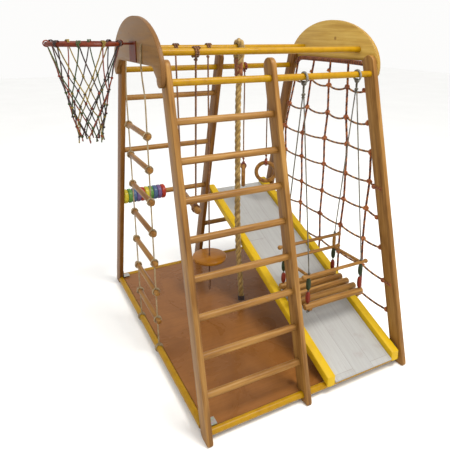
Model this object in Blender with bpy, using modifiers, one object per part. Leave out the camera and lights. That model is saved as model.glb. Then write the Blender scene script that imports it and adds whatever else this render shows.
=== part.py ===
"""Toddler play gym with a slide: two A-frames joined by bars, a floor board, ladders, a climbing net,
a rope ladder, a baby swing, rings, a trapeze, a disc swing, a climbing rope, an abacus and a hoop.

Metres, +Z up.  X runs along the bars, from the left A-frame (X = 0) to the right one (X = SPAN).
Y runs from the front wall (negative) to the back wall.  One empty carries the whole gym, so that
the world origin is under the middle of its box, on the floor.
"""
import math

import bpy
import bmesh
from mathutils import Matrix, Vector

# ---- driving dimensions -------------------------------------------------------------------------
SPAN = 0.928                # between the centre planes of the two A-frames
FOOT_Y = 0.624              # leg axis at the floor
LEAN = 0.257                # how far a leg comes in for each metre of height
LEG_TOP = 1.315
LEG_THICK = 0.022
LEG_WIDTH = 0.065
GUSSET_THICK = 0.018
DOWEL = 0.0135              # radius of rungs and painted bars
PITCH = 0.135               # rung spacing
TOP_RUNG = 1.103
TOP_BAR_Y = 0.210
TOP_BAR_Z = 1.336
LOWER_BAR_Y = 0.314
LOWER_BAR_Z = 1.237
BASE_BAR_Z = 0.030
STILE_FRONT_X = 0.423
STILE_BACK_X = 0.488
FIT = 0.0003                # clearance between pieces that touch

HALF_LEG = LEG_THICK / 2
GUSSET_IN = HALF_LEG + FIT
GUSSET_OUT = GUSSET_IN + GUSSET_THICK

HOOP_RADIUS = 0.134
HOOP_TUBE = 0.008
HOOP_X = -0.214
HOOP_Z = 1.362
BOARD_THICK = 0.006
BOARD_TOP = 0.036

# the gym is centred on the box that runs from the hoop's rim to the right gusset
GYM_SHIFT = -((HOOP_X - HOOP_RADIUS - HOOP_TUBE) + (SPAN + GUSSET_OUT)) / 2


def leg_y(z):
    """Distance of a leg's axis from the middle plane at a height."""
    return FOOT_Y - LEAN * z


# ---- scene and materials ------------------------------------------------------------------------
for old in list(bpy.data.objects):
    bpy.data.objects.remove(old, do_unlink=True)

GYM = bpy.data.collections.new("play_gym")
bpy.context.scene.collection.children.link(GYM)

ROOT = bpy.data.objects.new("play_gym_root", None)
ROOT.location = (GYM_SHIFT, 0, 0)
GYM.objects.link(ROOT)


def material(name, colour, roughness, metallic=0.0):
    made = bpy.data.materials.new(name)
    made.use_nodes = True
    shader = made.node_tree.nodes["Principled BSDF"]
    shader.inputs["Base Color"].default_value = (*colour, 1)
    shader.inputs["Roughness"].default_value = roughness
    shader.inputs["Metallic"].default_value = metallic
    return made


WOOD = material("varnished_birch", (0.40, 0.22, 0.075), 0.45)
PLY = material("plywood", (0.43, 0.25, 0.09), 0.45)
YELLOW = material("yellow_paint", (0.55, 0.33, 0.01), 0.35)
FOAM = material("yellow_rail", (0.80, 0.48, 0.01), 0.5)
BOARD = material("floor_board", (0.25, 0.11, 0.04), 0.3)
LAMINATE = material("white_laminate", (0.60, 0.60, 0.58), 0.35)
RIM_RED = material("hoop_red", (0.22, 0.025, 0.012), 0.4)
NET_ROPE = material("net_rope", (0.20, 0.035, 0.012), 0.9)
HEMP = material("hemp_rope", (0.33, 0.21, 0.10), 0.9)
CORD_GREY = material("grey_cord", (0.09, 0.085, 0.075), 0.8)
STEEL = material("zinc_steel", (0.55, 0.54, 0.50), 0.35, 1.0)
BEADS = [material("bead_" + name, colour, 0.3) for name, colour in (
    ("yellow", (0.62, 0.55, 0.02)), ("green", (0.08, 0.35, 0.06)), ("blue", (0.02, 0.16, 0.42)),
    ("purple", (0.22, 0.05, 0.30)), ("red", (0.60, 0.03, 0.02)))]


# ---- building blocks ----------------------------------------------------------------------------
def place(obj, name, finish, pivot=None, smooth=30.0):
    """Names a piece, gives it its material and hangs it under the gym, its origin on its pivot."""
    obj.name = name
    obj.data.name = name
    if pivot is not None:
        offset = Vector(pivot)
        obj.data.transform(Matrix.Translation(-offset))
        obj.location = offset
    for owner in list(obj.users_collection):
        owner.objects.unlink(obj)
    GYM.objects.link(obj)
    obj.data.materials.clear()
    obj.data.materials.append(finish)
    obj.parent = ROOT
    if obj.type == "MESH" and smooth:
        obj.data.shade_smooth()
        obj.data.set_sharp_from_angle(angle=math.radians(smooth))
    return obj


def mesh_object(bm, name="piece"):
    mesh = bpy.data.meshes.new(name)
    bm.to_mesh(mesh)
    bm.free()
    obj = bpy.data.objects.new(name, mesh)
    bpy.context.scene.collection.objects.link(obj)
    return obj


def rod(start, end, radius, sides=20):
    """A round bar between two points."""
    start = Vector(start)
    along = Vector(end) - start
    bm = bmesh.new()
    turn = along.to_track_quat("Z", "Y").to_matrix().to_4x4()
    bmesh.ops.create_cone(bm, cap_ends=True, segments=sides, radius1=radius, radius2=radius,
                          depth=along.length, matrix=Matrix.Translation(start + along / 2) @ turn)
    return mesh_object(bm)


def block(low, high):
    low = Vector(low)
    size = Vector(high) - low
    bm = bmesh.new()
    stretch = Matrix.Diagonal((*size, 1))
    bmesh.ops.create_cube(bm, size=1, matrix=Matrix.Translation(low + size / 2) @ stretch)
    return mesh_object(bm)


def ball(centre, radius, sides=12):
    bm = bmesh.new()
    bmesh.ops.create_uvsphere(bm, u_segments=sides, v_segments=sides // 2 + 2, radius=radius,
                              matrix=Matrix.Translation(centre))
    return mesh_object(bm)


def ring(centre, normal, major, minor, around=28, across=10):
    """A torus whose hole looks along normal."""
    bpy.ops.mesh.primitive_torus_add(major_radius=major, minor_radius=minor,
                                     major_segments=around, minor_segments=across)
    obj = bpy.context.object
    turn = Vector(normal).to_track_quat("Z", "Y").to_matrix().to_4x4()
    obj.data.transform(Matrix.Translation(centre) @ turn)
    return obj


def tube(points, radius, resolution=1):
    """A rope through points, as a closed mesh."""
    data = bpy.data.curves.new("rope", "CURVE")
    data.dimensions = "3D"
    data.bevel_depth = radius
    data.bevel_resolution = resolution
    data.use_fill_caps = True
    spline = data.splines.new("POLY")
    spline.points.add(len(points) - 1)
    for point, spot in zip(spline.points, points):
        point.co = (*spot, 1)
    curve = bpy.data.objects.new("rope", data)
    bpy.context.scene.collection.objects.link(curve)
    return meshed(curve)


def meshed(curve):
    """Turns a curve into a mesh and welds its caps."""
    graph = bpy.context.evaluated_depsgraph_get()
    mesh = bpy.data.meshes.new_from_object(curve.evaluated_get(graph))
    bm = bmesh.new()
    bm.from_mesh(mesh)
    bmesh.ops.remove_doubles(bm, verts=bm.verts, dist=1e-6)
    bmesh.ops.recalc_face_normals(bm, faces=bm.faces)
    bm.to_mesh(mesh)
    bm.free()
    obj = bpy.data.objects.new("meshed", mesh)
    obj.matrix_world = curve.matrix_world
    bpy.context.scene.collection.objects.link(obj)
    bpy.data.objects.remove(curve, do_unlink=True)
    return obj


def combined(first, others, operation):
    """Joins to, or cuts from, the first solid each of the others, which are used up."""
    for other in others:
        boolean = first.modifiers.new("combine", "BOOLEAN")
        boolean.operation = operation
        boolean.object = other
        boolean.solver = "EXACT"
    graph = bpy.context.evaluated_depsgraph_get()
    mesh = bpy.data.meshes.new_from_object(first.evaluated_get(graph))
    bm = bmesh.new()
    bm.from_mesh(mesh)
    bmesh.ops.dissolve_degenerate(bm, dist=2e-5, edges=bm.edges)
    bm.to_mesh(mesh)
    bm.free()
    first.modifiers.clear()
    first.data = mesh
    for other in others:
        bpy.data.objects.remove(other, do_unlink=True)
    return first


def union(first, *others):
    return combined(first, others, "UNION")


def drilled(solid, *cutters):
    return combined(solid, cutters, "DIFFERENCE")


def plank(outline, low_x, high_x, edge=0.003):
    """A board lying in a plane across X: its outline is a list of (y, z), its arrises are eased."""
    data = bpy.data.curves.new("outline", "CURVE")
    data.dimensions = "2D"
    data.fill_mode = "BOTH"
    data.extrude = (high_x - low_x) / 2 - edge
    data.bevel_depth = edge
    data.bevel_resolution = 1
    data.offset = -edge
    spline = data.splines.new("POLY")
    spline.use_cyclic_u = True
    spline.points.add(len(outline) - 1)
    for point, spot in zip(spline.points, outline):
        point.co = (*spot, 0, 1)
    curve = bpy.data.objects.new("outline", data)
    bpy.context.scene.collection.objects.link(curve)
    # local x runs along world Y, local y along Z, and the thickness along X
    middle = (low_x + high_x) / 2
    curve.matrix_world = Matrix(((0, 0, 1, middle), (1, 0, 0, 0), (0, 1, 0, 0), (0, 0, 0, 1)))
    bpy.context.view_layer.update()
    board = meshed(curve)
    board.data.transform(board.matrix_world)
    board.matrix_world = Matrix.Identity(4)
    return board


def arc(centre, radius, start, stop, steps):
    """Points on a circle or, with two radii, an ellipse; angles in degrees from +Y towards +Z."""
    wide, high = radius if isinstance(radius, tuple) else (radius, radius)
    points = []
    for step in range(steps + 1):
        angle = math.radians(start + (stop - start) * step / steps)
        points.append((centre[0] + wide * math.cos(angle), centre[1] + high * math.sin(angle)))
    return points


# ---- A-frames -----------------------------------------------------------------------------------
def leg(side, x):
    """A leaning leg: cut level at the floor with eased corners, round at the top. side -1 is front."""
    half = LEG_WIDTH / 2
    slope = math.hypot(1, LEAN)
    level = half * slope
    corner = 0.014
    lean = math.degrees(math.atan(LEAN))
    top = LEG_TOP - half
    outline = [(side * (FOOT_Y - level + corner), 0), (side * (FOOT_Y + level - corner), 0)]
    outline.append((side * (FOOT_Y + level - 0.3 * corner), 0.3 * corner))
    outline.append((side * (leg_y(corner) + level), corner))
    outline += [(side * y, z) for y, z in arc((leg_y(top), top), half, lean, 180 + lean, 12)]
    outline.append((side * (leg_y(corner) - level), corner))
    outline.append((side * (FOOT_Y - level + 0.3 * corner), 0.3 * corner))
    return plank(outline, x - HALF_LEG, x + HALF_LEG)


def gusset_outline():
    """Dome over two ears that run down the legs; the lower edge is straight with round corners."""
    dome_z, dome_half, dome_high = 1.262, 0.333, 0.205
    ear_z, arch_z, arch_half, corner = 1.244, 1.288, 0.226, 0.030
    half = 0.026
    ear_y = leg_y(ear_z) + 0.001
    outline = arc((0, dome_z), (dome_half, dome_high), 0, 180, 28)
    right = [(y, z) for y, z in arc((ear_y, ear_z), half, -14, -166, 6)]
    inner = [(ear_y - half, ear_z + 0.006)] + arc((arch_half, arch_z - corner), corner, 20, 90, 5)
    ear = right + inner
    return outline + [(-y, z) for y, z in ear] + ear[::-1]


def stile(side, x):
    """A ladder stile, drilled for the painted bars that pass through it."""
    holes = []
    bars = [(side * leg_y(BASE_BAR_Z), BASE_BAR_Z), (side * LOWER_BAR_Y, LOWER_BAR_Z)]
    for y, z in bars:
        holes.append(rod((x - LEG_THICK, y, z), (x + LEG_THICK, y, z), DOWEL + FIT))
    return drilled(leg(side, x), *holes)


def build_frames():
    for tag, x, outward in (("left", 0.0, -1), ("right", SPAN, 1)):
        place(leg(-1, x), "leg_%s_front" % tag, WOOD)
        place(leg(1, x), "leg_%s_back" % tag, WOOD)
        faces = sorted((x + outward * GUSSET_IN, x + outward * GUSSET_OUT))
        place(plank(gusset_outline(), *faces, edge=0.002), "gusset_%s" % tag, PLY)
    place(stile(-1, STILE_FRONT_X), "stile_front", WOOD)
    place(stile(1, STILE_BACK_X), "stile_back", WOOD)


def bar(name, y, z, start, end, finish, sides=20):
    return place(rod((start, y, z), (end, y, z), DOWEL, sides), name, finish)


def build_bars():
    inner = HALF_LEG + FIT
    for tag, side in (("front", -1), ("back", 1)):
        bar("top_bar_" + tag, side * TOP_BAR_Y, TOP_BAR_Z, -HALF_LEG, SPAN + HALF_LEG, YELLOW)
        bar("lower_bar_" + tag, side * LOWER_BAR_Y, LOWER_BAR_Z, inner, SPAN - inner, YELLOW)
        bar("base_bar_" + tag, side * leg_y(BASE_BAR_Z), BASE_BAR_Z, inner, SPAN - inner, YELLOW)
    reach = leg_y(BASE_BAR_Z + DOWEL) - LEG_WIDTH / 2 * math.hypot(1, LEAN) - 2 * FIT
    for tag, x in (("left", 0.0), ("right", SPAN)):
        place(rod((x, -reach, BASE_BAR_Z), (x, reach, BASE_BAR_Z), DOWEL), "base_bar_" + tag, YELLOW)


def rung_height(step):
    return TOP_RUNG - PITCH * step


HOOK_RUNG_Z = 0.480
ABACUS_Z = rung_height(4)


def build_rungs():
    inner = HALF_LEG + FIT
    for step in range(8):
        z = rung_height(step)
        bar("front_rung_%d" % (step + 1), -leg_y(z), z, inner, STILE_FRONT_X - inner, WOOD, 16)
    for number, step in enumerate((0, 2)):
        z = rung_height(step)
        bar("back_rung_%d" % (number + 1), leg_y(z), z, inner, STILE_BACK_X - inner, WOOD, 16)
    bar("abacus_rod", leg_y(ABACUS_Z), ABACUS_Z, inner, STILE_BACK_X - inner, WOOD, 16)
    for name, z in (("slide_rung", HOOK_RUNG_Z), ("low_back_rung", rung_height(6))):
        bar(name, leg_y(z), z, STILE_BACK_X + inner, SPAN - inner, WOOD, 16)


def build_floor():
    edge = DOWEL + 2 * FIT
    reach = leg_y(BASE_BAR_Z) - DOWEL - 2 * FIT
    board = block((edge, -reach, BOARD_TOP - BOARD_THICK), (SPAN - edge, reach, BOARD_TOP))
    # the feet of the legs and stiles stand in notches cut in the board's edge
    notches = []
    wide = LEG_THICK / 2 + 2 * FIT
    deep = leg_y(BOARD_TOP) - LEG_WIDTH / 2 * math.hypot(1, LEAN) - 0.0015
    feet = ((0.0, (-1, 1)), (STILE_FRONT_X, (-1,)), (STILE_BACK_X, (1,)), (SPAN, (-1, 1)))
    for x, sides in feet:
        for side in sides:
            low, high = sorted((side * deep, side * FOOT_Y))
            notches.append(block((x - wide, low, 0), (x + wide, high, 0.1)))
    place(drilled(board, *notches), "floor_board", BOARD)


def build_corner_brackets():
    """Folded steel corner: an upright leaf on the leg's inner face over a leaf on the floor board."""
    leaf, thick, lift = 0.036, 0.002, 0.0003
    for tag_x, x, inward in (("left", 0.0, 1), ("right", SPAN, -1)):
        for tag_y, side in (("front", -1), ("back", 1)):
            wall = x + inward * (HALF_LEG + FIT)
            deep = leg_y(BOARD_TOP) - LEG_WIDTH / 2 - 0.004
            lows = sorted((wall, wall + inward * thick))
            floors = sorted((wall, wall + inward * leaf))
            spans = sorted((side * (deep + 0.030), side * (deep - 0.006)))
            base = BASE_BAR_Z + DOWEL + lift
            upright = block((lows[0], spans[0], base), (lows[1], spans[1], base + leaf))
            foot = block((floors[0], spans[0], base), (floors[1], spans[1], base + thick))
            place(union(upright, foot), "corner_bracket_%s_%s" % (tag_y, tag_x), STEEL, smooth=0)


# ---- slide --------------------------------------------------------------------------------------
SLIDE_LOW_Y = -0.640
SLIDE_HIGH_Y = 0.508
SLIDE_RISE = 0.4060         # metres up for each metre back
SLIDE_START = 0.0600        # height of the sliding surface over the front base bar
SLIDE_LEFT = 0.517
SLIDE_RIGHT = 0.905
RAIL_WIDE = 0.042
RAIL_UNDER = 0.0135         # the rails reach below the sliding surface, and rest on the base bar
RAIL_OVER = 0.026
PANEL_THICK = 0.006


def slide_surface(y):
    return SLIDE_START + SLIDE_RISE * (y + leg_y(BASE_BAR_Z))


def slide_strip(low_x, high_x, under, over, edge, round_top):
    """A straight strip lying along the slide, from under to over the sliding surface."""
    slope = math.hypot(1, SLIDE_RISE)
    low = slide_surface(SLIDE_LOW_Y)
    high = slide_surface(SLIDE_HIGH_Y)
    outline = [(SLIDE_LOW_Y, low - under * slope), (SLIDE_HIGH_Y, high - under * slope)]
    if round_top:
        middle = (SLIDE_HIGH_Y, high + (over - under) / 2 * slope)
        outline = outline[:1] + arc(middle, (over + under) / 2 * slope, -90, 90, 6)
    else:
        outline.append((SLIDE_HIGH_Y, high + over * slope))
    outline.append((SLIDE_LOW_Y, low + over * slope))
    return plank(outline, low_x, high_x, edge)


def build_slide():
    left_in = SLIDE_LEFT + RAIL_WIDE + FIT
    right_in = SLIDE_RIGHT - RAIL_WIDE - FIT
    panel = slide_strip(left_in, right_in, PANEL_THICK, 0.0, 0.001, False)
    # cleat under the top end, notched to hook over the rung behind it
    rung_y = leg_y(HOOK_RUNG_Z)
    back = SLIDE_HIGH_Y - 0.001
    fore = rung_y - 0.050
    buried = PANEL_THICK / 2
    side = [(fore, HOOK_RUNG_Z - 0.006), (back, HOOK_RUNG_Z - 0.006)]
    side.append((back, slide_surface(back) - buried))
    side.append((fore, slide_surface(fore) - buried))
    cleat = plank(side, left_in + 0.03, right_in - 0.03, 0.001)
    notch = rod((left_in, rung_y, HOOK_RUNG_Z), (right_in, rung_y, HOOK_RUNG_Z), DOWEL + FIT, 16)
    gap = block((left_in, rung_y - DOWEL - FIT, 0.40), (right_in, rung_y + DOWEL + FIT, HOOK_RUNG_Z))
    place(union(panel, drilled(cleat, notch, gap)), "slide_panel", LAMINATE)
    for tag, low in (("left", SLIDE_LEFT), ("right", SLIDE_RIGHT - RAIL_WIDE)):
        rail = slide_strip(low, low + RAIL_WIDE, RAIL_UNDER, RAIL_OVER, 0.009, True)
        place(rail, "slide_rail_" + tag, FOAM)


# ---- abacus -------------------------------------------------------------------------------------
BEAD_COUNT = 10
BEAD_THICK = 0.0225
BEAD_RADIUS = 0.038


def bead(x):
    """A turned ring with a rounded rim; the profile runs down its outer side."""
    bore = DOWEL + 0.0012
    flat = BEAD_THICK / 2
    crown = 0.005
    profile = [(bore, flat), (BEAD_RADIUS - crown, flat)]
    profile.append((BEAD_RADIUS, flat - crown))
    profile.append((BEAD_RADIUS, crown - flat))
    profile.append((BEAD_RADIUS - crown, -flat))
    profile.append((bore, -flat))
    bm = bmesh.new()
    spots = [bm.verts.new((radius, 0, height)) for radius, height in profile]
    for first, second in zip(spots, spots[1:] + spots[:1]):
        bm.edges.new((first, second))
    obj = mesh_object(bm)
    screw = obj.modifiers.new("turn", "SCREW")
    screw.steps = 20
    screw.render_steps = 20
    screw.use_merge_vertices = True
    screw.merge_threshold = 0.00001
    screw.use_normal_calculate = True
    graph = bpy.context.evaluated_depsgraph_get()
    mesh = bpy.data.meshes.new_from_object(obj.evaluated_get(graph))
    obj.modifiers.clear()
    obj.data = mesh
    centre = Vector((x, leg_y(ABACUS_Z), ABACUS_Z))
    obj.data.transform(Matrix.Translation(centre) @ Matrix.Rotation(math.pi / 2, 4, "Y"))
    return obj


def build_abacus():
    start = HALF_LEG + 3 * FIT + BEAD_THICK / 2
    for index in range(BEAD_COUNT):
        x = start + index * (BEAD_THICK + FIT)
        centre = (x, leg_y(ABACUS_Z), ABACUS_Z)
        place(bead(x), "abacus_bead_%02d" % (index + 1), BEADS[index % len(BEADS)], centre)


# ---- hoop and its net ---------------------------------------------------------------------------
def build_hoop():
    wall = -GUSSET_OUT - FIT
    rim = ring((HOOP_X, 0, HOOP_Z), (0, 0, 1), HOOP_RADIUS, HOOP_TUBE, 32, 8)
    plate = block((wall - 0.003, -0.045, HOOP_Z - 0.070), (wall, 0.045, HOOP_Z + 0.010))
    arm = block((HOOP_X + HOOP_RADIUS, -0.020, HOOP_Z - 0.004), (wall - 0.001, 0.020, HOOP_Z + 0.004))
    place(union(rim, arm, plate), "hoop_rim", RIM_RED)

    top, bottom = HOOP_Z - HOOP_TUBE - 0.002, 0.990
    wide, narrow, wall_thick = HOOP_RADIUS - 0.006, 0.052, 0.004
    steps, sides = 5, 16
    bm = bmesh.new()
    rings = []
    for inside in (False, True):
        for step in range(steps + 1):
            share = (steps - step if inside else step) / steps
            radius = wide + (narrow - wide) * share ** 0.8 - (wall_thick if inside else 0)
            z = top + (bottom - top) * share
            circle = []
            for side in range(sides):
                angle = 2 * math.pi * side / sides
                spot = (HOOP_X + radius * math.cos(angle), radius * math.sin(angle), z)
                circle.append(bm.verts.new(spot))
            rings.append(circle)
    for upper, lower in zip(rings, rings[1:] + rings[:1]):
        for side in range(sides):
            after = (side + 1) % sides
            bm.faces.new((upper[side], lower[side], lower[after], upper[after]))
    bmesh.ops.recalc_face_normals(bm, faces=bm.faces)
    place(mesh_object(bm), "hoop_net", NET_ROPE)


# ---- rope ladder and climbing net ---------------------------------------------------------------
LADDER_TOP = (-0.020, 1.287)
LADDER_ROPES = ((-0.096, -0.092), (0.186, 0.176))
LADDER_RUNGS = 7
LADDER_FIRST = 1.006
LADDER_PITCH = 0.1385
LADDER_ROD = 0.0115


def ladder_x(z):
    """The ladder hangs under the gusset and is tied to the base bar, a little further in."""
    return LADDER_TOP[0] * (z - BASE_BAR_Z) / (LADDER_TOP[1] - BASE_BAR_Z)


def build_rope_ladder():
    pieces = []
    low = BASE_BAR_Z + DOWEL + 2 * FIT
    high = LADDER_TOP[1] - 2 * FIT
    for top_y, low_y in LADDER_ROPES:
        pieces.append(tube([(ladder_x(high), top_y, high), (ladder_x(low), low_y, low)], 0.0035))
    for step in range(LADDER_RUNGS):
        z = LADDER_FIRST - LADDER_PITCH * step
        pieces.append(rod((ladder_x(z), -0.120, z), (ladder_x(z), 0.204, z), LADDER_ROD, 12))
    place(union(*pieces), "rope_ladder", HEMP)


NET_ROWS = 8
NET_TOP_ROW = 1.168
NET_PITCH = 0.1375
NET_ARCH_Z = 1.287
NET_SPREAD_Z = 0.9
# each vertical rope: its place under the gusset, its place from NET_SPREAD_Z down, its first row
NET_COLUMNS = ((0.235, 0.335, None), (0.098, 0.165, None), (-0.030, -0.020, None),
               (-0.158, -0.185, None), (-0.347, -0.347, 2))


def column_y(column, z):
    """A vertical rope spreads from its place under the gusset to its place at the foot."""
    top_y, low_y, _ = NET_COLUMNS[column]
    share = (NET_ARCH_Z - z) / (NET_ARCH_Z - NET_SPREAD_Z)
    return top_y + (low_y - top_y) * min(share, 1.0)


def build_climbing_net():
    pieces = []
    inner = LEG_WIDTH / 2 * math.hypot(1, LEAN) + 0.002
    rows = [NET_TOP_ROW - NET_PITCH * step for step in range(NET_ROWS)]
    for column, (_, _, first_row) in enumerate(NET_COLUMNS):
        top = NET_ARCH_Z - FIT if first_row is None else rows[first_row] + 0.009
        heights = [top] + [z for z in rows if z < top - 0.03]
        heights[-1] -= 0.012
        pieces.append(tube([(SPAN, column_y(column, z), z) for z in heights], 0.0048))
    for z in rows:
        ends = leg_y(z) - inner
        pieces.append(tube([(SPAN, -ends, z), (SPAN, ends, z)], 0.0044))
    place(union(*pieces), "climbing_net", NET_ROPE)


# ---- things that hang and swing -----------------------------------------------------------------
def build_climbing_rope():
    """Thick rope looped over the top back bar; its foot leans against the slide's left rail."""
    radius = 0.0155
    pivot = (0.553, TOP_BAR_Y, TOP_BAR_Z)
    hang = TOP_BAR_Z - DOWEL - 0.002
    eye = ring((pivot[0], TOP_BAR_Y, TOP_BAR_Z - 0.0030), (1, 0, 0), 0.0325, 0.0148, 20, 8)
    course = [(0.553, 0.210, hang - 0.022), (0.549, 0.204, 1.20), (0.535, 0.178, 1.00),
              (0.518, 0.144, 0.75), (0.5010, 0.110, 0.50), (0.4965, 0.086, 0.30),
              (0.4965, 0.062, 0.15), (0.4955, 0.048, 0.054)]
    place(union(tube(course, radius, 2), eye), "climbing_rope", HEMP, pivot)


DISC_X = 0.388
DISC_Z = 0.252
DISC_RADIUS = 0.091


def build_disc_swing():
    pivot = (DISC_X, TOP_BAR_Y, TOP_BAR_Z)
    top = TOP_BAR_Z - DOWEL - FIT
    disc = rod((DISC_X, TOP_BAR_Y, DISC_Z - 0.009), (DISC_X, TOP_BAR_Y, DISC_Z + 0.009), DISC_RADIUS, 32)
    rope = tube([(DISC_X, TOP_BAR_Y, top), (DISC_X, TOP_BAR_Y, 0.110)], 0.0045)
    knot = ball((DISC_X, TOP_BAR_Y, DISC_Z - 0.018), 0.012)
    place(union(disc, rope, knot), "disc_swing", WOOD, pivot)


RING_HANG_Y = LOWER_BAR_Y
RING_Z = 0.643
RINGS = (("ring_left", 0.643, 28.8), ("ring_right", 0.788, -62.0))


def build_rings():
    for name, x, heading in RINGS:
        turn = math.radians(heading)
        # heading is the way the ring's plane runs, from +Y towards +X
        normal = (math.cos(turn), -math.sin(turn), 0)
        hoop = ring((x, RING_HANG_Y, RING_Z), normal, 0.054, 0.011, 24, 8)
        top = LOWER_BAR_Z - DOWEL - FIT
        rope = tube([(x, RING_HANG_Y, top), (x, RING_HANG_Y, RING_Z + 0.056)], 0.0040)
        place(union(hoop, rope), name, WOOD, (x, RING_HANG_Y, LOWER_BAR_Z))


TRAPEZE_HANGS = (Vector((0.150, -TOP_BAR_Y, TOP_BAR_Z)), Vector((0.225, TOP_BAR_Y, TOP_BAR_Z)))
TRAPEZE_ENDS = (Vector((0.175, -0.125, 0.680)), Vector((0.208, 0.125, 0.680)))
HITCH_GAP = 0.006           # the ropes' own solids start under their hitches, clear of the bars at full swing


def build_trapeze():
    overhang = (TRAPEZE_ENDS[1] - TRAPEZE_ENDS[0]).normalized() * 0.030
    ends = (TRAPEZE_ENDS[0] - overhang, TRAPEZE_ENDS[1] + overhang)
    pieces = [rod(ends[0], ends[1], LADDER_ROD, 14)]
    for hang, end in zip(TRAPEZE_HANGS, TRAPEZE_ENDS):
        start = hang + (end - hang).normalized() * (DOWEL + HITCH_GAP)
        pieces.append(tube([start, end], 0.0045))
    for end in ends:
        pieces.append(ball(end, 0.0145))
    place(union(*pieces), "trapeze", WOOD, (TRAPEZE_HANGS[0] + TRAPEZE_HANGS[1]) / 2)


# ---- baby swing ---------------------------------------------------------------------------------
SWING_PIVOT = (0.705, -LOWER_BAR_Y, LOWER_BAR_Z)
SEAT_LEFT, SEAT_RIGHT = 0.545, 0.865
SEAT_Y, SEAT_Z = -0.330, 0.268
SLAT_STEP, SLAT_RADIUS = 0.0475, 0.0145
CORNER_X = (0.562, 0.848)
FRONT_Y, BACK_Y = SEAT_Y - 2 * SLAT_STEP, SEAT_Y + 2 * SLAT_STEP
RAIL_Z, BACK_RAIL_Z = 0.405, 0.467
RAIL_ROD = 0.0075


def build_swing():
    slats = []
    for step in range(-2, 3):
        y = SEAT_Y + step * SLAT_STEP
        slats.append(rod((SEAT_LEFT, y, SEAT_Z), (SEAT_RIGHT, y, SEAT_Z), SLAT_RADIUS, 12))
    cleats = []
    for x in (CORNER_X[0] + 0.010, CORNER_X[1] - 0.010):    # inside the slide's rails
        low = (x - 0.010, FRONT_Y - 0.013, SEAT_Z - 0.018)
        cleats.append(block(low, (x + 0.010, BACK_Y + 0.013, SEAT_Z - 0.005)))
    place(union(*slats, *cleats), "swing_seat", WOOD, SWING_PIVOT)

    front_z = RAIL_Z + 0.006
    rails = []
    for y, z in ((FRONT_Y, front_z), (BACK_Y, RAIL_Z), (BACK_Y, BACK_RAIL_Z)):
        rails.append(rod((SEAT_LEFT - 0.008, y, z), (SEAT_RIGHT + 0.010, y, z), RAIL_ROD, 12))
    for x in CORNER_X:
        rails.append(rod((x, FRONT_Y, front_z), (x, BACK_Y, RAIL_Z), RAIL_ROD - 0.0004, 12))
        rails.append(rod((x, BACK_Y, RAIL_Z), (x, BACK_Y, BACK_RAIL_Z), RAIL_ROD - 0.0009, 12))
        for y in (FRONT_Y, BACK_Y):
            foot = SEAT_Z + SLAT_RADIUS + FIT
            rails.append(rod((x, y, foot), (x, y, RAIL_Z), RAIL_ROD - 0.0013, 10))
    place(union(*rails), "swing_guard_rails", WOOD, SWING_PIVOT)

    hook_ring, wire = 0.022, 0.0045
    ring_z = LOWER_BAR_Z + DOWEL + FIT + wire - hook_ring
    for tag, ring_x, corner_x in (("left", 0.572, CORNER_X[0]), ("right", 0.847, CORNER_X[1])):
        hook = ring((ring_x, -LOWER_BAR_Y, ring_z), (1, 0, 0), hook_ring, wire, 20, 8)
        knot = (ring_x, -LOWER_BAR_Y, ring_z - hook_ring)
        cords = [tube([knot, (corner_x, FRONT_Y, front_z + RAIL_ROD + FIT)], 0.0030),
                 tube([knot, (corner_x, BACK_Y, BACK_RAIL_Z + RAIL_ROD + FIT)], 0.0030)]
        place(union(hook, *cords), "swing_hanger_" + tag, CORD_GREY, SWING_PIVOT)


build_frames()
build_bars()
build_rungs()
build_floor()
build_corner_brackets()
build_slide()
build_abacus()
build_hoop()
build_rope_ladder()
build_climbing_net()
build_climbing_rope()
build_disc_swing()
build_rings()
build_trapeze()
build_swing()
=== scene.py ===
"""Looks for the toddler play gym with a slide: ropes, nets, turned wood and every finish.

Metres.  Places are in the gym's own frame, as in its model: X = 0 at the left A-frame, Y from the
front wall to the back, Z up.  Shape.build moves them into the row frame.
"""
import math
import random

import bmesh
import bpy
import numpy as np
from mathutils import Matrix, Vector


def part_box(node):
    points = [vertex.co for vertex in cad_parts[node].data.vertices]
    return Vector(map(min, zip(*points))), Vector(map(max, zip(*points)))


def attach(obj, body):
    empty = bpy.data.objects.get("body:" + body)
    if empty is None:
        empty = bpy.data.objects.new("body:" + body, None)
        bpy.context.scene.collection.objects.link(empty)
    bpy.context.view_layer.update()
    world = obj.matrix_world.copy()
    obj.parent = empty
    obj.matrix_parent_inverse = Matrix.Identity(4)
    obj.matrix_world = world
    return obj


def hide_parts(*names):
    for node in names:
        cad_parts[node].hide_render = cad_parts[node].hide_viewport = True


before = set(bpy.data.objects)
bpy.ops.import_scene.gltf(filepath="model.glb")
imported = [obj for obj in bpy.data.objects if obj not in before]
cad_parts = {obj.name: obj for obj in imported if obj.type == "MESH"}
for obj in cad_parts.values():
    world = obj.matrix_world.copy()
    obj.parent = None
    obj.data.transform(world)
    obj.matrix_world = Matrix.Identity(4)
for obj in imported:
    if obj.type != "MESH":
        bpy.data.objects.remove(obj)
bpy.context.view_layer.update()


# ---- places taken from the frame ----------------------------------------------------------------
def middle(node):
    low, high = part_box(node)
    return (low + high) / 2


ORIGIN_X = middle("leg_left_front").x
SPAN = middle("leg_right_front").x - ORIGIN_X
TOP_Y, TOP_Z = middle("top_bar_back")[1:]
LOWER_Y, LOWER_Z = middle("lower_bar_back")[1:]
BASE_Z = middle("base_bar_front").z
DOWEL = (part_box("top_bar_back")[1].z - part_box("top_bar_back")[0].z) / 2
LEG_SLOPE = (middle("base_bar_back").y - LOWER_Y) / (LOWER_Z - BASE_Z)
GUSSET_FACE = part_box("gusset_left")[0].x - ORIGIN_X


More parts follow.
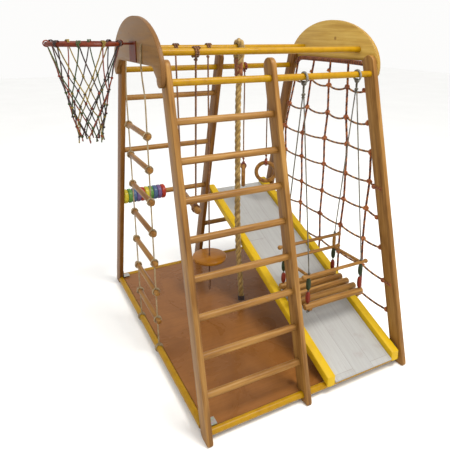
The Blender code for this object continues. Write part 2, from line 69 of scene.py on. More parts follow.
def leg_y(z):
    """Distance of a leg's axis from the middle plane at a height, from two rungs' places."""
    low, high = middle("front_rung_8"), middle("front_rung_1")
    share = (z - low.z) / (high.z - low.z)
    return -(low.y + (high.y - low.y) * share)


def placed(spot):
    """A point of the gym's own frame in the row frame."""
    return (spot[0] + ORIGIN_X, spot[1], spot[2])


# ---- camera, lights and floor -------------------------------------------------------------------
CAMERA_AT = (-0.5413, -1.8608, 1.4089)
CAMERA_YAW, CAMERA_PITCH, CAMERA_ROLL = 0.4764, 0.2587, 0.0064
CAMERA_LENS = 37.43
CAMERA_SHIFT = (-0.0188, -0.1542)


def build_camera():
    yaw, pitch, roll = CAMERA_YAW, CAMERA_PITCH, CAMERA_ROLL
    forward = Vector((math.sin(yaw) * math.cos(pitch), math.cos(yaw) * math.cos(pitch), -math.sin(pitch)))
    level = Vector((math.cos(yaw), -math.sin(yaw), 0))
    upright = level.cross(forward)
    right = math.cos(roll) * level + math.sin(roll) * upright
    up = math.cos(roll) * upright - math.sin(roll) * level
    data = bpy.data.cameras.new("photographer")
    data.lens = CAMERA_LENS
    data.sensor_width = 36.0
    data.shift_x, data.shift_y = CAMERA_SHIFT
    camera = bpy.data.objects.new("photographer", data)
    bpy.context.scene.collection.objects.link(camera)
    camera.matrix_world = Matrix((right, up, -forward)).transposed().to_4x4()
    camera.location = placed(CAMERA_AT)
    bpy.context.scene.camera = camera


def area_light(name, at, target, size, power, colour):
    data = bpy.data.lights.new(name, "AREA")
    data.shape = "DISK"
    data.size = size
    data.energy = power
    data.color = colour
    lamp = bpy.data.objects.new(name, data)
    bpy.context.scene.collection.objects.link(lamp)
    lamp.location = at
    aim = Vector(target) - Vector(at)
    lamp.rotation_euler = aim.to_track_quat("-Z", "Y").to_euler()


def build_lights():
    area_light("ceiling_light", (0.9, -1.6, 3.7), (0.1, 0.0, 0.5), 1.7, 120, (1.0, 0.97, 0.91))
    area_light("front_fill", (0.4, -3.6, 1.7), (0.0, 0.0, 0.6), 2.2, 14, (1.0, 0.98, 0.95))
    world = bpy.data.worlds.new("pale_room")
    bpy.context.scene.world = world
    world.use_nodes = True
    sky = world.node_tree.nodes["Background"]
    sky.inputs["Color"].default_value = (1.0, 0.995, 0.985, 1)
    sky.inputs["Strength"].default_value = 0.98


# ---- mesh helpers -------------------------------------------------------------------------------
def unit(vector):
    return vector / np.linalg.norm(vector)


def through(points, step):
    """A smooth line through given points, with a point about every step."""
    spots = [Vector(point) for point in points]
    ends = [2 * spots[0] - spots[1]] + spots + [2 * spots[-1] - spots[-2]]
    line = []
    for before, start, stop, after in zip(ends, ends[1:], ends[2:], ends[3:]):
        count = max(1, math.ceil((stop - start).length / step))
        pull_in, pull_out = (stop - before) / 2, (after - start) / 2
        for index in range(count):
            t = index / count
            line.append((2 * t**3 - 3 * t**2 + 1) * start + (t**3 - 2 * t**2 + t) * pull_in
                        + (3 * t**2 - 2 * t**3) * stop + (t**3 - t**2) * pull_out)
    line.append(spots[-1])
    return line


def carried(spots, closed):
    """Two unit vectors across the line at each point, carried along it without twisting."""
    ahead = np.roll(spots, -1, 0) - np.roll(spots, 1, 0)
    if not closed:
        ahead[0], ahead[-1] = spots[1] - spots[0], spots[-1] - spots[-2]
    ahead /= np.linalg.norm(ahead, axis=1)[:, None]
    across = [unit(np.cross(ahead[0], np.eye(3)[np.argmin(np.abs(ahead[0]))]))]
    for way in ahead[1:]:
        across.append(unit(across[-1] - way * (across[-1] @ way)))
    return np.array(across), np.cross(ahead, np.array(across))


class Shape:
    """Collects solids, each a patch of points and faces, and makes them one mesh object."""

    def __init__(self):
        self.points = []
        self.faces = []
        self.finishes = []
        self.strands = []

    def add(self, points, faces, finish=0, strands=None):
        base = len(self.points)
        self.points += [tuple(point) for point in points]
        self.faces += [[base + corner for corner in face] for face in faces]
        self.finishes += [finish] * len(faces)
        for index, face in enumerate(faces):
            self.strands += strands[index] if strands else [(0.0, 0.0)] * len(face)

    def build(self, name, finishes, body, slot, stands_for=(), sharp=50):
        mesh = bpy.data.meshes.new(name)
        mesh.from_pydata([placed(point) for point in self.points], [], self.faces)
        for finish in finishes:
            mesh.materials.append(finish)
        mesh.polygons.foreach_set("material_index", self.finishes)
        layer = mesh.uv_layers.new(name="strand")
        layer.uv.foreach_set("vector", np.array(self.strands, np.float32).ravel())
        bm = bmesh.new()
        bm.from_mesh(mesh)
        bmesh.ops.recalc_face_normals(bm, faces=bm.faces)
        bm.to_mesh(mesh)
        bm.free()
        mesh.shade_smooth()
        mesh.set_sharp_from_angle(angle=math.radians(sharp))
        obj = bpy.data.objects.new(name, mesh)
        bpy.context.scene.collection.objects.link(obj)
        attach(obj, body)
        if stands_for:
            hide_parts(*stands_for)
        return obj


def loft(shape, rings, finish=0, closed=False, heights=None):
    """Skins a list of rings of points. heights are the strand coordinates along it."""
    count, sides = len(rings), len(rings[0])
    heights = heights if heights is not None else [0.0] * (count + 1)
    points = [tuple(spot) for ring in rings for spot in ring]
    faces, strands = [], []
    for lower in range(count if closed else count - 1):
        upper = (lower + 1) % count
        for side in range(sides):
            after = (side + 1) % sides
            faces.append([lower * sides + side, lower * sides + after,
                          upper * sides + after, upper * sides + side])
            left, right = side / sides, (side + 1) / sides
            low, high = float(heights[lower]), float(heights[lower + 1])
            strands.append([(left, low), (right, low), (right, high), (left, high)])
    if not closed:
        for first, height in ((0, heights[0]), ((count - 1) * sides, heights[count - 1])):
            faces.append(list(range(first, first + sides)))
            strands.append([(side / sides, float(height)) for side in range(sides)])
    shape.add(points, faces, finish, strands)


def swept(shape, line, radius, lobes=3, depth=0.22, lay=7.0, sides=12, closed=False, finish=0, phase=0.0):
    """A laid rope along a line: its strands wind round once in lay radii. radius may vary."""
    spots = np.array([tuple(spot) for spot in line], float)
    count = len(spots)
    radii = np.broadcast_to(np.asarray(radius, float), count)
    gaps = np.linalg.norm(np.roll(spots, -1, 0) - spots, axis=1)
    along = np.concatenate([[0.0], np.cumsum(gaps)])
    across, up = carried(spots, closed)
    turns = along / (lay * radii.mean())
    slip = 0.0
    if closed:
        turns = turns * max(1, round(turns[-1] * max(lobes, 1))) / max(lobes, 1) / turns[-1]
        last = across[-1] - unit(np.cross(across[0], up[0])) * (across[-1] @ np.cross(across[0], up[0]))
        slip = math.atan2(last @ up[0], last @ across[0])
    angles = np.arange(sides) * 2 * math.pi / sides
    swell = 1 - depth * (1 - np.abs(np.cos(angles * lobes / 2))) if lobes else np.ones(sides)
    rings = []
    for index in range(count):
        turn = angles + phase + 2 * math.pi * turns[index] * (1 if lobes else 0) - slip * index / count
        reach = (radii[index] * swell)[:, None]
        way = np.cos(turn)[:, None] * across[index] + np.sin(turn)[:, None] * up[index]
        rings.append(spots[index] + reach * way)
    loft(shape, rings, finish, closed, along / (2 * math.pi * radii.mean()))


def turned(shape, start, end, profile, sides=24, finish=0):
    """A lathe shape from start to end; profile is a list of (metres along, radius)."""
    start, end = Vector(start), Vector(end)
    turn = (end - start).to_track_quat("Z", "Y").to_matrix()
    rings = []
    for along, radius in profile:
        angles = [2 * math.pi * side / sides for side in range(sides)]
        rings.append([start + turn @ Vector((radius * math.cos(a), radius * math.sin(a), along))
                      for a in angles])
    loft(shape, rings, finish)


def dowel(shape, start, end, radius, ease=0.003, sides=24, finish=0):
    """A round rod with eased ends."""
    long = (Vector(end) - Vector(start)).length
    profile = [(ease * (1 - math.cos(a)), radius - ease * (1 - math.sin(a)))
               for a in (0.0, math.pi / 6, math.pi / 3, math.pi / 2)]
    profile = [(0.0, (radius - ease) * 0.5)] + profile
    turned(shape, start, end, profile + [(long - along, r) for along, r in profile[::-1]], sides, finish)


def bead(shape, start, end, radius, flat=0.55, sides=20, finish=0, steps=10):
    """An oval bead between two points; flat is its end radius as a share of its middle one."""
    long = (Vector(end) - Vector(start)).length
    profile = []
    for step in range(steps + 1):
        t = step / steps
        crown = math.sqrt(max(0.0, 1 - (2 * t - 1) ** 2))
        profile.append((long * t, radius * (flat + (1 - flat) * crown)))
    turned(shape, start, end, profile, sides, finish)


def circle(centre, normal, radius, count, start=0.0, turns=1.0, rise=0.0):
    """Points round a circle, or along a helix that rises along the normal."""
    normal = Vector(normal).normalized()
    seed = Vector((0, 0, 1)) if abs(normal.z) < 0.9 else Vector((0, 1, 0))
    first = (seed - normal * seed.dot(normal)).normalized()
    second = normal.cross(first)
    line = []
    steps = count if turns == 1.0 and rise == 0.0 else count + 1
    for step in range(steps):
        angle = start + 2 * math.pi * turns * step / count
        lift = rise * (step / count - 0.5)
        line.append(Vector(centre) + radius * (math.cos(angle) * first + math.sin(angle) * second)
                    + normal * lift)
    return line


def coil(shape, centre, axis, core, rope, turns=2.0, start=0.0, finish=0):
    """Turns of a rope laid side by side round a core."""
    rise = 2.05 * rope * turns
    line = circle(centre, axis, core + rope, max(10, int(14 * turns)), start, turns, rise)
    swept(shape, line, rope, sides=12, depth=0.16, finish=finish)


def knot(shape, centre, axis, size, finish=0, turn=0.0):
    """A pulled-tight overhand knot: a trefoil of rope whose outer radius is size."""
    normal = Vector(axis).normalized()
    frame_turn = normal.to_track_quat("Z", "Y").to_matrix()
    line = []
    for step in range(36):
        t = 2 * math.pi * step / 36
        wide = size * (0.40 + 0.27 * math.cos(3 * t))
        spot = Vector((wide * math.cos(2 * t + turn), wide * math.sin(2 * t + turn),
                       size * 0.34 * math.sin(3 * t)))
        line.append(Vector(centre) + frame_turn @ spot)
    swept(shape, line, size * 0.33, sides=9, depth=0.14, closed=True, finish=finish)


def slab(shape, low, high, ease=0.002, finish=0):
    """A small block with eased corners, lofted along its longest side."""
    low, high = Vector(low), Vector(high)
    size = high - low
    long = max(range(3), key=lambda axis: size[axis])
    wide, deep = [axis for axis in range(3) if axis != long]

    def ring(at, inset):
        corners = []
        for turn_x, turn_y in ((1, 1), (-1, 1), (-1, -1), (1, -1)):
            half_x, half_y = size[wide] / 2 - inset, size[deep] / 2 - inset
            steps = ((0, 1), (1, 0)) if turn_x * turn_y < 0 else ((1, 0), (0, 1))
            for cut_x, cut_y in steps:
                spot = [0.0, 0.0, 0.0]
                spot[long] = at
                spot[wide] = (low[wide] + high[wide]) / 2 + turn_x * (half_x - ease * cut_y)
                spot[deep] = (low[deep] + high[deep]) / 2 + turn_y * (half_y - ease * cut_x)
                corners.append(spot)
        return corners

    rings = [ring(low[long], ease), ring(low[long] + ease, 0.0),
             ring(high[long] - ease, 0.0), ring(high[long], ease)]
    loft(shape, rings, finish)


# ---- materials ----------------------------------------------------------------------------------
SHADE = 0.74


def tint(red, green, blue):
    """An 8-bit display colour as a shader's linear colour, darkened because the room is bright."""
    def straight(value):
        share = value / 255
        return share / 12.92 if share <= 0.04045 else ((share + 0.055) / 1.055) ** 2.4
    return (SHADE * straight(red), SHADE * straight(green), SHADE * straight(blue), 1.0)


class Finish:
    """A material under construction: a Principled shader and short ways to feed it."""

    def __init__(self, name, roughness=0.5, metallic=0.0, coat=0.0, sheen=0.0, specular=0.14):
        self.made = bpy.data.materials.new(name)
        self.made.use_nodes = True
        self.tree = self.made.node_tree
        self.shader = self.tree.nodes["Principled BSDF"]
        self.shader.inputs["Roughness"].default_value = roughness
        self.shader.inputs["Metallic"].default_value = metallic
        self.shader.inputs["Coat Weight"].default_value = coat
        self.shader.inputs["Coat Roughness"].default_value = 0.12
        self.shader.inputs["Sheen Weight"].default_value = sheen
        self.shader.inputs["Specular IOR Level"].default_value = specular
        self.place = self.node("ShaderNodeTexCoord").outputs["Object"]

    def node(self, kind, **settings):
        made = self.tree.nodes.new(kind)
        for key, value in settings.items():
            setattr(made, key, value)
        return made

    def feed(self, socket, value):
        if isinstance(value, bpy.types.NodeSocket):
            self.tree.links.new(value, socket)
        else:
            socket.default_value = value

    def mapped(self, size, turn=(0, 0, 0), shift=(0, 0, 0), source=None):
        """Coordinates in units of size along three axes that are turned by turn."""
        mapping = self.node("ShaderNodeMapping", vector_type="TEXTURE")
        self.feed(mapping.inputs["Vector"], source or self.place)
        mapping.inputs["Location"].default_value = shift
        mapping.inputs["Rotation"].default_value = turn
        mapping.inputs["Scale"].default_value = size
        return mapping.outputs["Vector"]

    def noise(self, vector, scale=1.0, detail=3.0, rough=0.5, distortion=0.0):
        made = self.node("ShaderNodeTexNoise")
        self.feed(made.inputs["Vector"], vector)
        made.inputs["Scale"].default_value = scale
        made.inputs["Detail"].default_value = detail
        made.inputs["Roughness"].default_value = rough
        made.inputs["Distortion"].default_value = distortion
        return made.outputs["Fac"]

    def ramp(self, factor, stops, ease="LINEAR"):
        made = self.node("ShaderNodeValToRGB")
        made.color_ramp.interpolation = ease
        while len(made.color_ramp.elements) < len(stops):
            made.color_ramp.elements.new(0.5)
        for element, (at, colour) in zip(made.color_ramp.elements, stops):
            element.position = at
            element.color = colour if len(colour) == 4 else (*colour, 1)
        self.feed(made.inputs["Fac"], factor)
        return made.outputs["Color"]

    def grey(self, factor, low, high, dark=0.0, light=1.0):
        """A factor stretched so that low gives dark and high gives light."""
        made = self.node("ShaderNodeMapRange")
        self.feed(made.inputs["Value"], factor)
        made.inputs["From Min"].default_value = low
        made.inputs["From Max"].default_value = high
        made.inputs["To Min"].default_value = dark
        made.inputs["To Max"].default_value = light
        return made.outputs["Result"]

    def maths(self, operation, first, second=0.0):
        made = self.node("ShaderNodeMath", operation=operation)
        self.feed(made.inputs[0], first)
        self.feed(made.inputs[1], second)
        return made.outputs["Value"]

    def mix(self, factor, first, second, mode="MIX"):
        made = self.node("ShaderNodeMix", data_type="RGBA", blend_type=mode)
        self.feed(made.inputs["Factor"], factor)
        self.feed(made.inputs["A"], first)
        self.feed(made.inputs["B"], second)
        for output in made.outputs:
            if output.type == "RGBA":
                return output

    def spot(self, centre, radius, soft=0.35):
        """1 inside a round spot, fading to 0 outside it."""
        made = self.node("ShaderNodeVectorMath", operation="DISTANCE")
        self.feed(made.inputs[0], self.place)
        made.inputs[1].default_value = placed(centre)
        return self.grey(made.outputs["Value"], radius * (1 - soft), radius * (1 + soft), 1.0, 0.0)

    def colour(self, value):
        self.feed(self.shader.inputs["Base Color"], value)

    def rough(self, factor, low, high):
        self.feed(self.shader.inputs["Roughness"], self.grey(factor, 0.25, 0.75, low, high))

    def bump(self, height, strength, distance=0.001):
        made = self.node("ShaderNodeBump")
        made.inputs["Strength"].default_value = strength
        made.inputs["Distance"].default_value = distance
        self.feed(made.inputs["Height"], height)
        self.feed(self.shader.inputs["Normal"], made.outputs["Normal"])


def wood(name, dark, mid, light, turn=(0, 0, 0), knots=(), gloss=0.42, plies=False, coat=0.02):
    """Varnished wood whose grain runs along local Z, turned by turn, in the row frame."""
    made = Finish(name, gloss, coat=coat)
    broad = made.noise(made.mapped((0.016, 0.016, 0.30), turn), 1.0, 4.0, 0.55, 0.6)
    fine = made.noise(made.mapped((0.0022, 0.0022, 0.085), turn), 1.0, 3.0, 0.6)
    flame = made.noise(made.mapped((0.05, 0.05, 0.16), turn), 1.0, 2.0, 0.5, 1.2)
    tone = made.ramp(broad, [(0.30, dark), (0.50, mid), (0.72, light)])
    tone = made.mix(made.grey(fine, 0.35, 0.70, 0.0, 0.45), tone, dark, "MIX")
    tone = made.mix(made.grey(flame, 0.35, 0.75, 0.0, 0.30), tone, light, "MIX")
    if plies:
        across = made.node("ShaderNodeSeparateXYZ")
        made.feed(across.inputs["Vector"], made.node("ShaderNodeNewGeometry").outputs["Normal"])
        edge = made.grey(made.maths("ABSOLUTE", across.outputs["X"]), 0.55, 0.75, 1.0, 0.0)
        wave = made.node("ShaderNodeTexWave", wave_type="BANDS", bands_direction="X")
        made.feed(wave.inputs["Vector"], made.place)
        wave.inputs["Scale"].default_value = 105.0
        wave.inputs["Distortion"].default_value = 0.6
        layers = made.ramp(wave.outputs["Fac"], [(0.35, tint(96, 58, 24)), (0.62, mid)])
        tone = made.mix(edge, tone, layers)
    for centre, radius in knots:
        ringed = made.spot(centre, radius)
        tone = made.mix(made.maths("MULTIPLY", ringed, 0.65), tone, tint(118, 66, 24))
    made.colour(tone)
    made.rough(broad, gloss - 0.07, gloss + 0.10)
    made.bump(fine, 0.16, 0.0006)
    return made.made


def paint(name, colour, worn, gloss=0.34, coat=0.06, patch=0.03):
    """Brushed gloss paint: thin places let the darker ground through."""
    made = Finish(name, gloss, coat=coat)
    cloud = made.noise(made.place, 1 / patch, 4.0, 0.6)
    speck = made.noise(made.place, 420.0, 2.0, 0.5)
    tone = made.ramp(cloud, [(0.28, worn), (0.55, colour), (0.80, colour)])
    made.colour(made.mix(made.grey(speck, 0.62, 0.78, 0.0, 0.35), tone, worn))
    made.rough(cloud, gloss - 0.05, gloss + 0.12)
    made.bump(made.noise(made.mapped((0.006, 0.02, 0.02)), 1.0, 3.0, 0.6), 0.10, 0.0006)
    return made.made


def rope_finish(name, dark, mid, light, flecks=0.35, stripe=None):
    """Laid rope: painted shade in the creases between the strands, fibres across them, perhaps one darker
    strand.
    """
    made = Finish(name, 0.88, sheen=0.25, specular=0.25)
    strand = made.node("ShaderNodeUVMap", uv_map="strand").outputs["UV"]
    parts = made.node("ShaderNodeSeparateXYZ")
    made.feed(parts.inputs["Vector"], strand)
    wave = made.maths("COSINE", made.maths("MULTIPLY", parts.outputs["X"], 3 * math.pi))
    crown = made.maths("ABSOLUTE", wave)
    fibre = made.noise(made.mapped((0.05, 0.55, 1.0), (0, 0, 0.5), source=strand), 1.0, 4.0, 0.6)
    patch = made.noise(made.place, 34.0, 3.0, 0.6)
    tone = made.ramp(patch, [(0.30, dark), (0.52, mid), (0.72, light)])
    tone = made.mix(made.grey(fibre, 0.42, 0.72, 0.0, flecks), tone, light)
    if stripe:
        marked = made.maths("LESS_THAN", made.maths("FRACT", parts.outputs["X"]), 0.42)
        tone = made.mix(marked, tone, stripe)
    # painted shade: the creases between the strands are darkened towards the dark colour
    tone = made.mix(made.grey(crown, 0.05, 0.55, 0.75, 0.0), tone, dark)
    made.colour(tone)
    made.bump(fibre, 0.45, 0.0008)
    return made.made


GRAIN_X = (0, math.pi / 2, 0)
GRAIN_Y = (math.pi / 2, 0, 0)
GRAIN_FRONT = (-math.atan(LEG_SLOPE), 0, 0)
GRAIN_BACK = (math.atan(LEG_SLOPE), 0, 0)

BIRCH = (tint(112, 72, 30), tint(156, 110, 52), tint(192, 146, 80))
HONEY = (tint(108, 66, 26), tint(150, 102, 44), tint(184, 136, 68))
# The back legs and the back stile take the leg wood darkened: painted shade.
LEG_WOOD_PAINTED_SHADE = (tint(92, 54, 18), tint(130, 84, 30), tint(160, 110, 46))

LEFT_PLATE_KNOT = ((GUSSET_FACE, 0.05, 1.40), 0.006)
RIGHT_PLATE_KNOT = ((SPAN + 0.0113, -0.040, 1.382), 0.008)

FINISHES = {
    "leg_front": wood("leg_front", *BIRCH, GRAIN_FRONT),
    "leg_back_painted_shade": wood("leg_back_painted_shade", *LEG_WOOD_PAINTED_SHADE, GRAIN_BACK),
    "rung": wood("rung", *BIRCH, GRAIN_X, gloss=0.36),
    # The two plates are one plywood in two colours: the left plate is darker as painted shade, the right
    # plate lighter as painted light.
    "plate_left_painted_shade": wood("plate_left_painted_shade", tint(128, 90, 46), tint(146, 106, 56), tint(162, 120, 68),
                       GRAIN_Y, [LEFT_PLATE_KNOT], 0.42, True),
    "plate_right_painted_light": wood("plate_right_painted_light", tint(188, 144, 62), tint(216, 174, 82), tint(232, 196, 106),
                        GRAIN_Y, [RIGHT_PLATE_KNOT], 0.36, True),
    "turned": wood("turned", *HONEY, GRAIN_Y, gloss=0.34),
    "turned_x": wood("turned_x", *BIRCH, GRAIN_X, gloss=0.38),
    "disc": wood("disc", tint(132, 76, 8), tint(160, 100, 12), tint(182, 120, 22), GRAIN_X, gloss=0.30,
                 coat=0.15),
    "yellow": paint("yellow", tint(182, 136, 2), tint(166, 120, 2)),
    "rail": paint("rail", tint(222, 182, 26), tint(210, 168, 20), 0.45, 0.03, 0.06),
    "hoop": paint("hoop", tint(120, 48, 22), tint(84, 34, 18), 0.45, 0.05, 0.010),
    "hemp": rope_finish("hemp", tint(112, 84, 40), tint(162, 130, 68), tint(200, 168, 106)),
    "ladder_rope": rope_finish("ladder_rope", tint(120, 98, 66), tint(176, 150, 108), tint(206, 182, 138)),
    "net_rope": rope_finish("net_rope", tint(96, 42, 18), tint(162, 88, 40), tint(206, 134, 68),
                            stripe=tint(82, 32, 16)),
    "net_row": rope_finish("net_row", tint(104, 58, 26), tint(178, 122, 62), tint(210, 158, 92),
                           stripe=tint(86, 42, 20)),
    "net_knot": rope_finish("net_knot", tint(104, 46, 18), tint(184, 98, 46), tint(212, 136, 74)),
    "brown_rope": rope_finish("brown_rope", tint(78, 44, 20), tint(126, 80, 42), tint(164, 112, 64)),
    "beige_rope": rope_finish("beige_rope", tint(132, 98, 58), tint(186, 150, 100), tint(216, 184, 136)),
    "grey_rope": rope_finish("grey_rope", tint(62, 56, 46), tint(108, 100, 84), tint(150, 142, 122)),
    "green_rope": rope_finish("green_rope", tint(28, 40, 16), tint(62, 84, 32), tint(96, 112, 52)),
    "gold_rope": rope_finish("gold_rope", tint(92, 74, 16), tint(158, 130, 40), tint(190, 164, 70)),
    "ink_rope": rope_finish("ink_rope", tint(26, 18, 18), tint(58, 38, 34), tint(88, 60, 48)),
    "red_rope": rope_finish("red_rope", tint(74, 20, 10), tint(146, 54, 26), tint(184, 88, 44)),
}


def laminate():
    """Pale grey decor planks, laid lengthwise down the slide, with faint blots."""
    made = Finish("laminate", 0.32, coat=0.04)
    planks = made.node("ShaderNodeTexBrick")
    shift = placed((0.711, 0, 0))
    laid = made.mapped((1, 1, 1), (0, 0, math.pi / 2), (shift[0] + 0.047, 0.1, 0))
    made.feed(planks.inputs["Vector"], laid)
    planks.inputs["Color1"].default_value = tint(190, 190, 188)
    planks.inputs["Color2"].default_value = tint(182, 182, 180)
    planks.inputs["Mortar"].default_value = tint(160, 156, 151)
    planks.inputs["Scale"].default_value = 1.0
    planks.inputs["Mortar Size"].default_value = 0.0012
    planks.inputs["Mortar Smooth"].default_value = 0.6
    planks.inputs["Brick Width"].default_value = 0.72
    planks.inputs["Row Height"].default_value = 0.094
    grain = made.noise(made.mapped((0.010, 0.20, 0.20)), 1.0, 5.0, 0.6, 0.8)
    blot = made.noise(made.place, 17.0, 3.0, 0.6)
    tone = made.mix(made.grey(grain, 0.42, 0.72, 0.0, 0.55), planks.outputs["Color"], tint(167, 165, 161))
    tone = made.mix(made.grey(blot, 0.60, 0.76, 0.0, 0.40), tone, tint(165, 154, 147))
    made.colour(tone)
    made.rough(grain, 0.24, 0.42)
    made.bump(grain, 0.08, 0.0004)
    return made.made


def floor_film():
    """Brown film-faced floor board: a fine fibrous figure, cloudy gloss and one small dark spot."""
    made = Finish("floor_film", 0.28, coat=0.08)
    cloud = made.noise(made.place, 5.0, 4.0, 0.6, 0.8)
    fibre = made.noise(made.mapped((0.30, 0.008, 0.05)), 1.0, 5.0, 0.65, 0.6)
    speck = made.noise(made.place, 160.0, 2.0, 0.6)
    browns = [(0.30, tint(136, 86, 38)), (0.55, tint(154, 100, 48)), (0.78, tint(168, 112, 58))]
    tone = made.ramp(cloud, browns)
    tone = made.mix(made.grey(fibre, 0.40, 0.72, 0.0, 0.45), tone, tint(126, 78, 38))
    tone = made.mix(made.grey(speck, 0.60, 0.80, 0.0, 0.30), tone, tint(112, 68, 32))
    eye = made.spot((0.406, -0.548, 0.036), 0.014, 0.5)
    tone = made.mix(made.maths("MULTIPLY", eye, 0.55), tone, tint(92, 52, 26))
    made.colour(tone)
    made.rough(cloud, 0.20, 0.40)
    made.bump(fibre, 0.10, 0.0005)
    return made.made


def zinc():
    """Bright galvanised sheet with a spangle and a few scuffs."""
    made = Finish("zinc", 0.34, metallic=0.9)
    spangle = made.node("ShaderNodeTexVoronoi")
    made.feed(spangle.inputs["Vector"], made.place)
    spangle.inputs["Scale"].default_value = 190.0
    tone = made.mix(0.35, tint(198, 196, 188), spangle.outputs["Color"], "SOFT_LIGHT")
    scuff = made.noise(made.mapped((0.004, 0.03, 0.03)), 1.0, 4.0, 0.6)
    made.colour(made.mix(made.grey(scuff, 0.50, 0.75, 0.0, 0.5), tone, tint(150, 146, 138)))
    made.rough(scuff, 0.25, 0.50)
    made.bump(made.noise(made.place, 90.0, 3.0, 0.5), 0.35, 0.0012)
    return made.made


def tape():
    """Red-brown binding tape, wound in flat turns that overlap, with painted shade under each overlap."""
    made = Finish("tape", 0.6, sheen=0.1)
    bands = made.node("ShaderNodeTexWave", wave_type="BANDS", bands_direction="Z", wave_profile="SAW")
    made.feed(bands.inputs["Vector"], made.mapped((1, 1, 1), (0.30, 0, 0)))
    bands.inputs["Scale"].default_value = 22.0
    bands.inputs["Distortion"].default_value = 0.4
    worn = made.noise(made.place, 60.0, 4.0, 0.6)
    tone = made.ramp(worn, [(0.30, tint(112, 60, 34)), (0.55, tint(152, 92, 56)), (0.78, tint(178, 120, 78))])
    # painted shade: a dark band along the step where each turn laps over the next
    made.colour(made.mix(made.grey(bands.outputs["Fac"], 0.0, 0.30, 0.60, 0.0), tone, tint(86, 44, 26)))
    made.bump(bands.outputs["Fac"], 0.5, 0.0012)
    return made.made


FINISHES["laminate"] = laminate()
FINISHES["floor"] = floor_film()
FINISHES["zinc"] = zinc()
FINISHES["tape"] = tape()
FINISHES["ring_steel"] = paint("ring_steel", tint(146, 144, 136), tint(98, 96, 90), 0.36, 0.2, 0.006)
BEAD_PAINTS = {
    "yellow": paint("bead_yellow", tint(206, 188, 50), tint(176, 158, 34), 0.36, 0.1, 0.012),
    "green": paint("bead_green", tint(98, 146, 72), tint(72, 116, 54), 0.36, 0.1, 0.012),
    "blue": paint("bead_blue", tint(84, 106, 140), tint(62, 82, 116), 0.36, 0.1, 0.012),
    "purple": paint("bead_purple", tint(118, 94, 138), tint(90, 70, 112), 0.36, 0.1, 0.012),
    "red": paint("bead_red", tint(178, 60, 38), tint(144, 42, 26), 0.36, 0.1, 0.012),
}
GREEN_BEAD = paint("dark_green_bead", tint(52, 64, 38), tint(32, 40, 24), 0.42, 0.1, 0.008)
RED_BEAD = paint("dark_red_bead", tint(136, 48, 28), tint(94, 32, 20), 0.42, 0.1, 0.008)


# ---- finishes of the frame's own pieces ---------------------------------------------------------
def dress(node, finish, crisp=32):
    """Smooth shading on the round faces, crisp corners, and the finish. The vertices stay."""
    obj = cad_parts[node]
    for layer in ("custom_normal", "sharp_edge", "sharp_face"):
        if layer in obj.data.attributes:
            obj.data.attributes.remove(obj.data.attributes[layer])
    obj.data.shade_smooth()
    weld = obj.modifiers.new("weld", "WELD")
    weld.merge_threshold = 0.00001
    split = obj.modifiers.new("crisp", "EDGE_SPLIT")
    split.split_angle = math.radians(crisp)
    for slot in obj.material_slots:
        slot.material = finish


def dress_frame():
    finish_of = {
        "leg_left_front": "leg_front", "leg_right_front": "leg_front", "stile_front": "leg_front",
        "leg_left_back": "leg_back_painted_shade", "leg_right_back": "leg_back_painted_shade", "stile_back": "leg_back_painted_shade",
        "gusset_left": "plate_left_painted_shade", "gusset_right": "plate_right_painted_light", "floor_board": "floor",
        "slide_panel": "laminate", "slide_rail_left": "rail", "slide_rail_right": "rail",
        "abacus_rod": "rung", "slide_rung": "rung", "low_back_rung": "rung", "hoop_rim": "hoop",
    }
    for node, finish in finish_of.items():
        dress(node, FINISHES[finish])
    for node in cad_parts:
        if "_bar_" in node:
            dress(node, FINISHES["yellow"])
        elif "_rung_" in node:
            dress(node, FINISHES["rung"])
        elif node.startswith("corner_bracket"):
            dress(node, FINISHES["zinc"])
    for index in range(10):
        colour = list(BEAD_PAINTS)[index % 5]
        dress("abacus_bead_%02d" % (index + 1), BEAD_PAINTS[colour])


# ---- climbing rope ------------------------------------------------------------------------------
THICK = 0.0155
EYE_X = 0.553
EYE_Z = TOP_Z - 0.0030
EYE_RADIUS = 0.0325
# the standing part, under its eye, down to the foot that leans on the slide's left rail
ROPE_COURSE = ((0.5525, 0.1945, 1.240), (0.5505, 0.1935, 1.190),
               (0.5465, 0.196, 1.140), (0.5430, 0.193, 1.080),
               (0.535, 0.178, 1.00), (0.526, 0.1620, 0.880), (0.518, 0.144, 0.75), (0.5090, 0.127, 0.620),
               (0.5010, 0.110, 0.50), (0.4980, 0.098, 0.400), (0.4965, 0.086, 0.30), (0.4965, 0.074, 0.220),
               (0.4965, 0.062, 0.15), (0.4960, 0.055, 0.100), (0.4955, 0.048, 0.056))


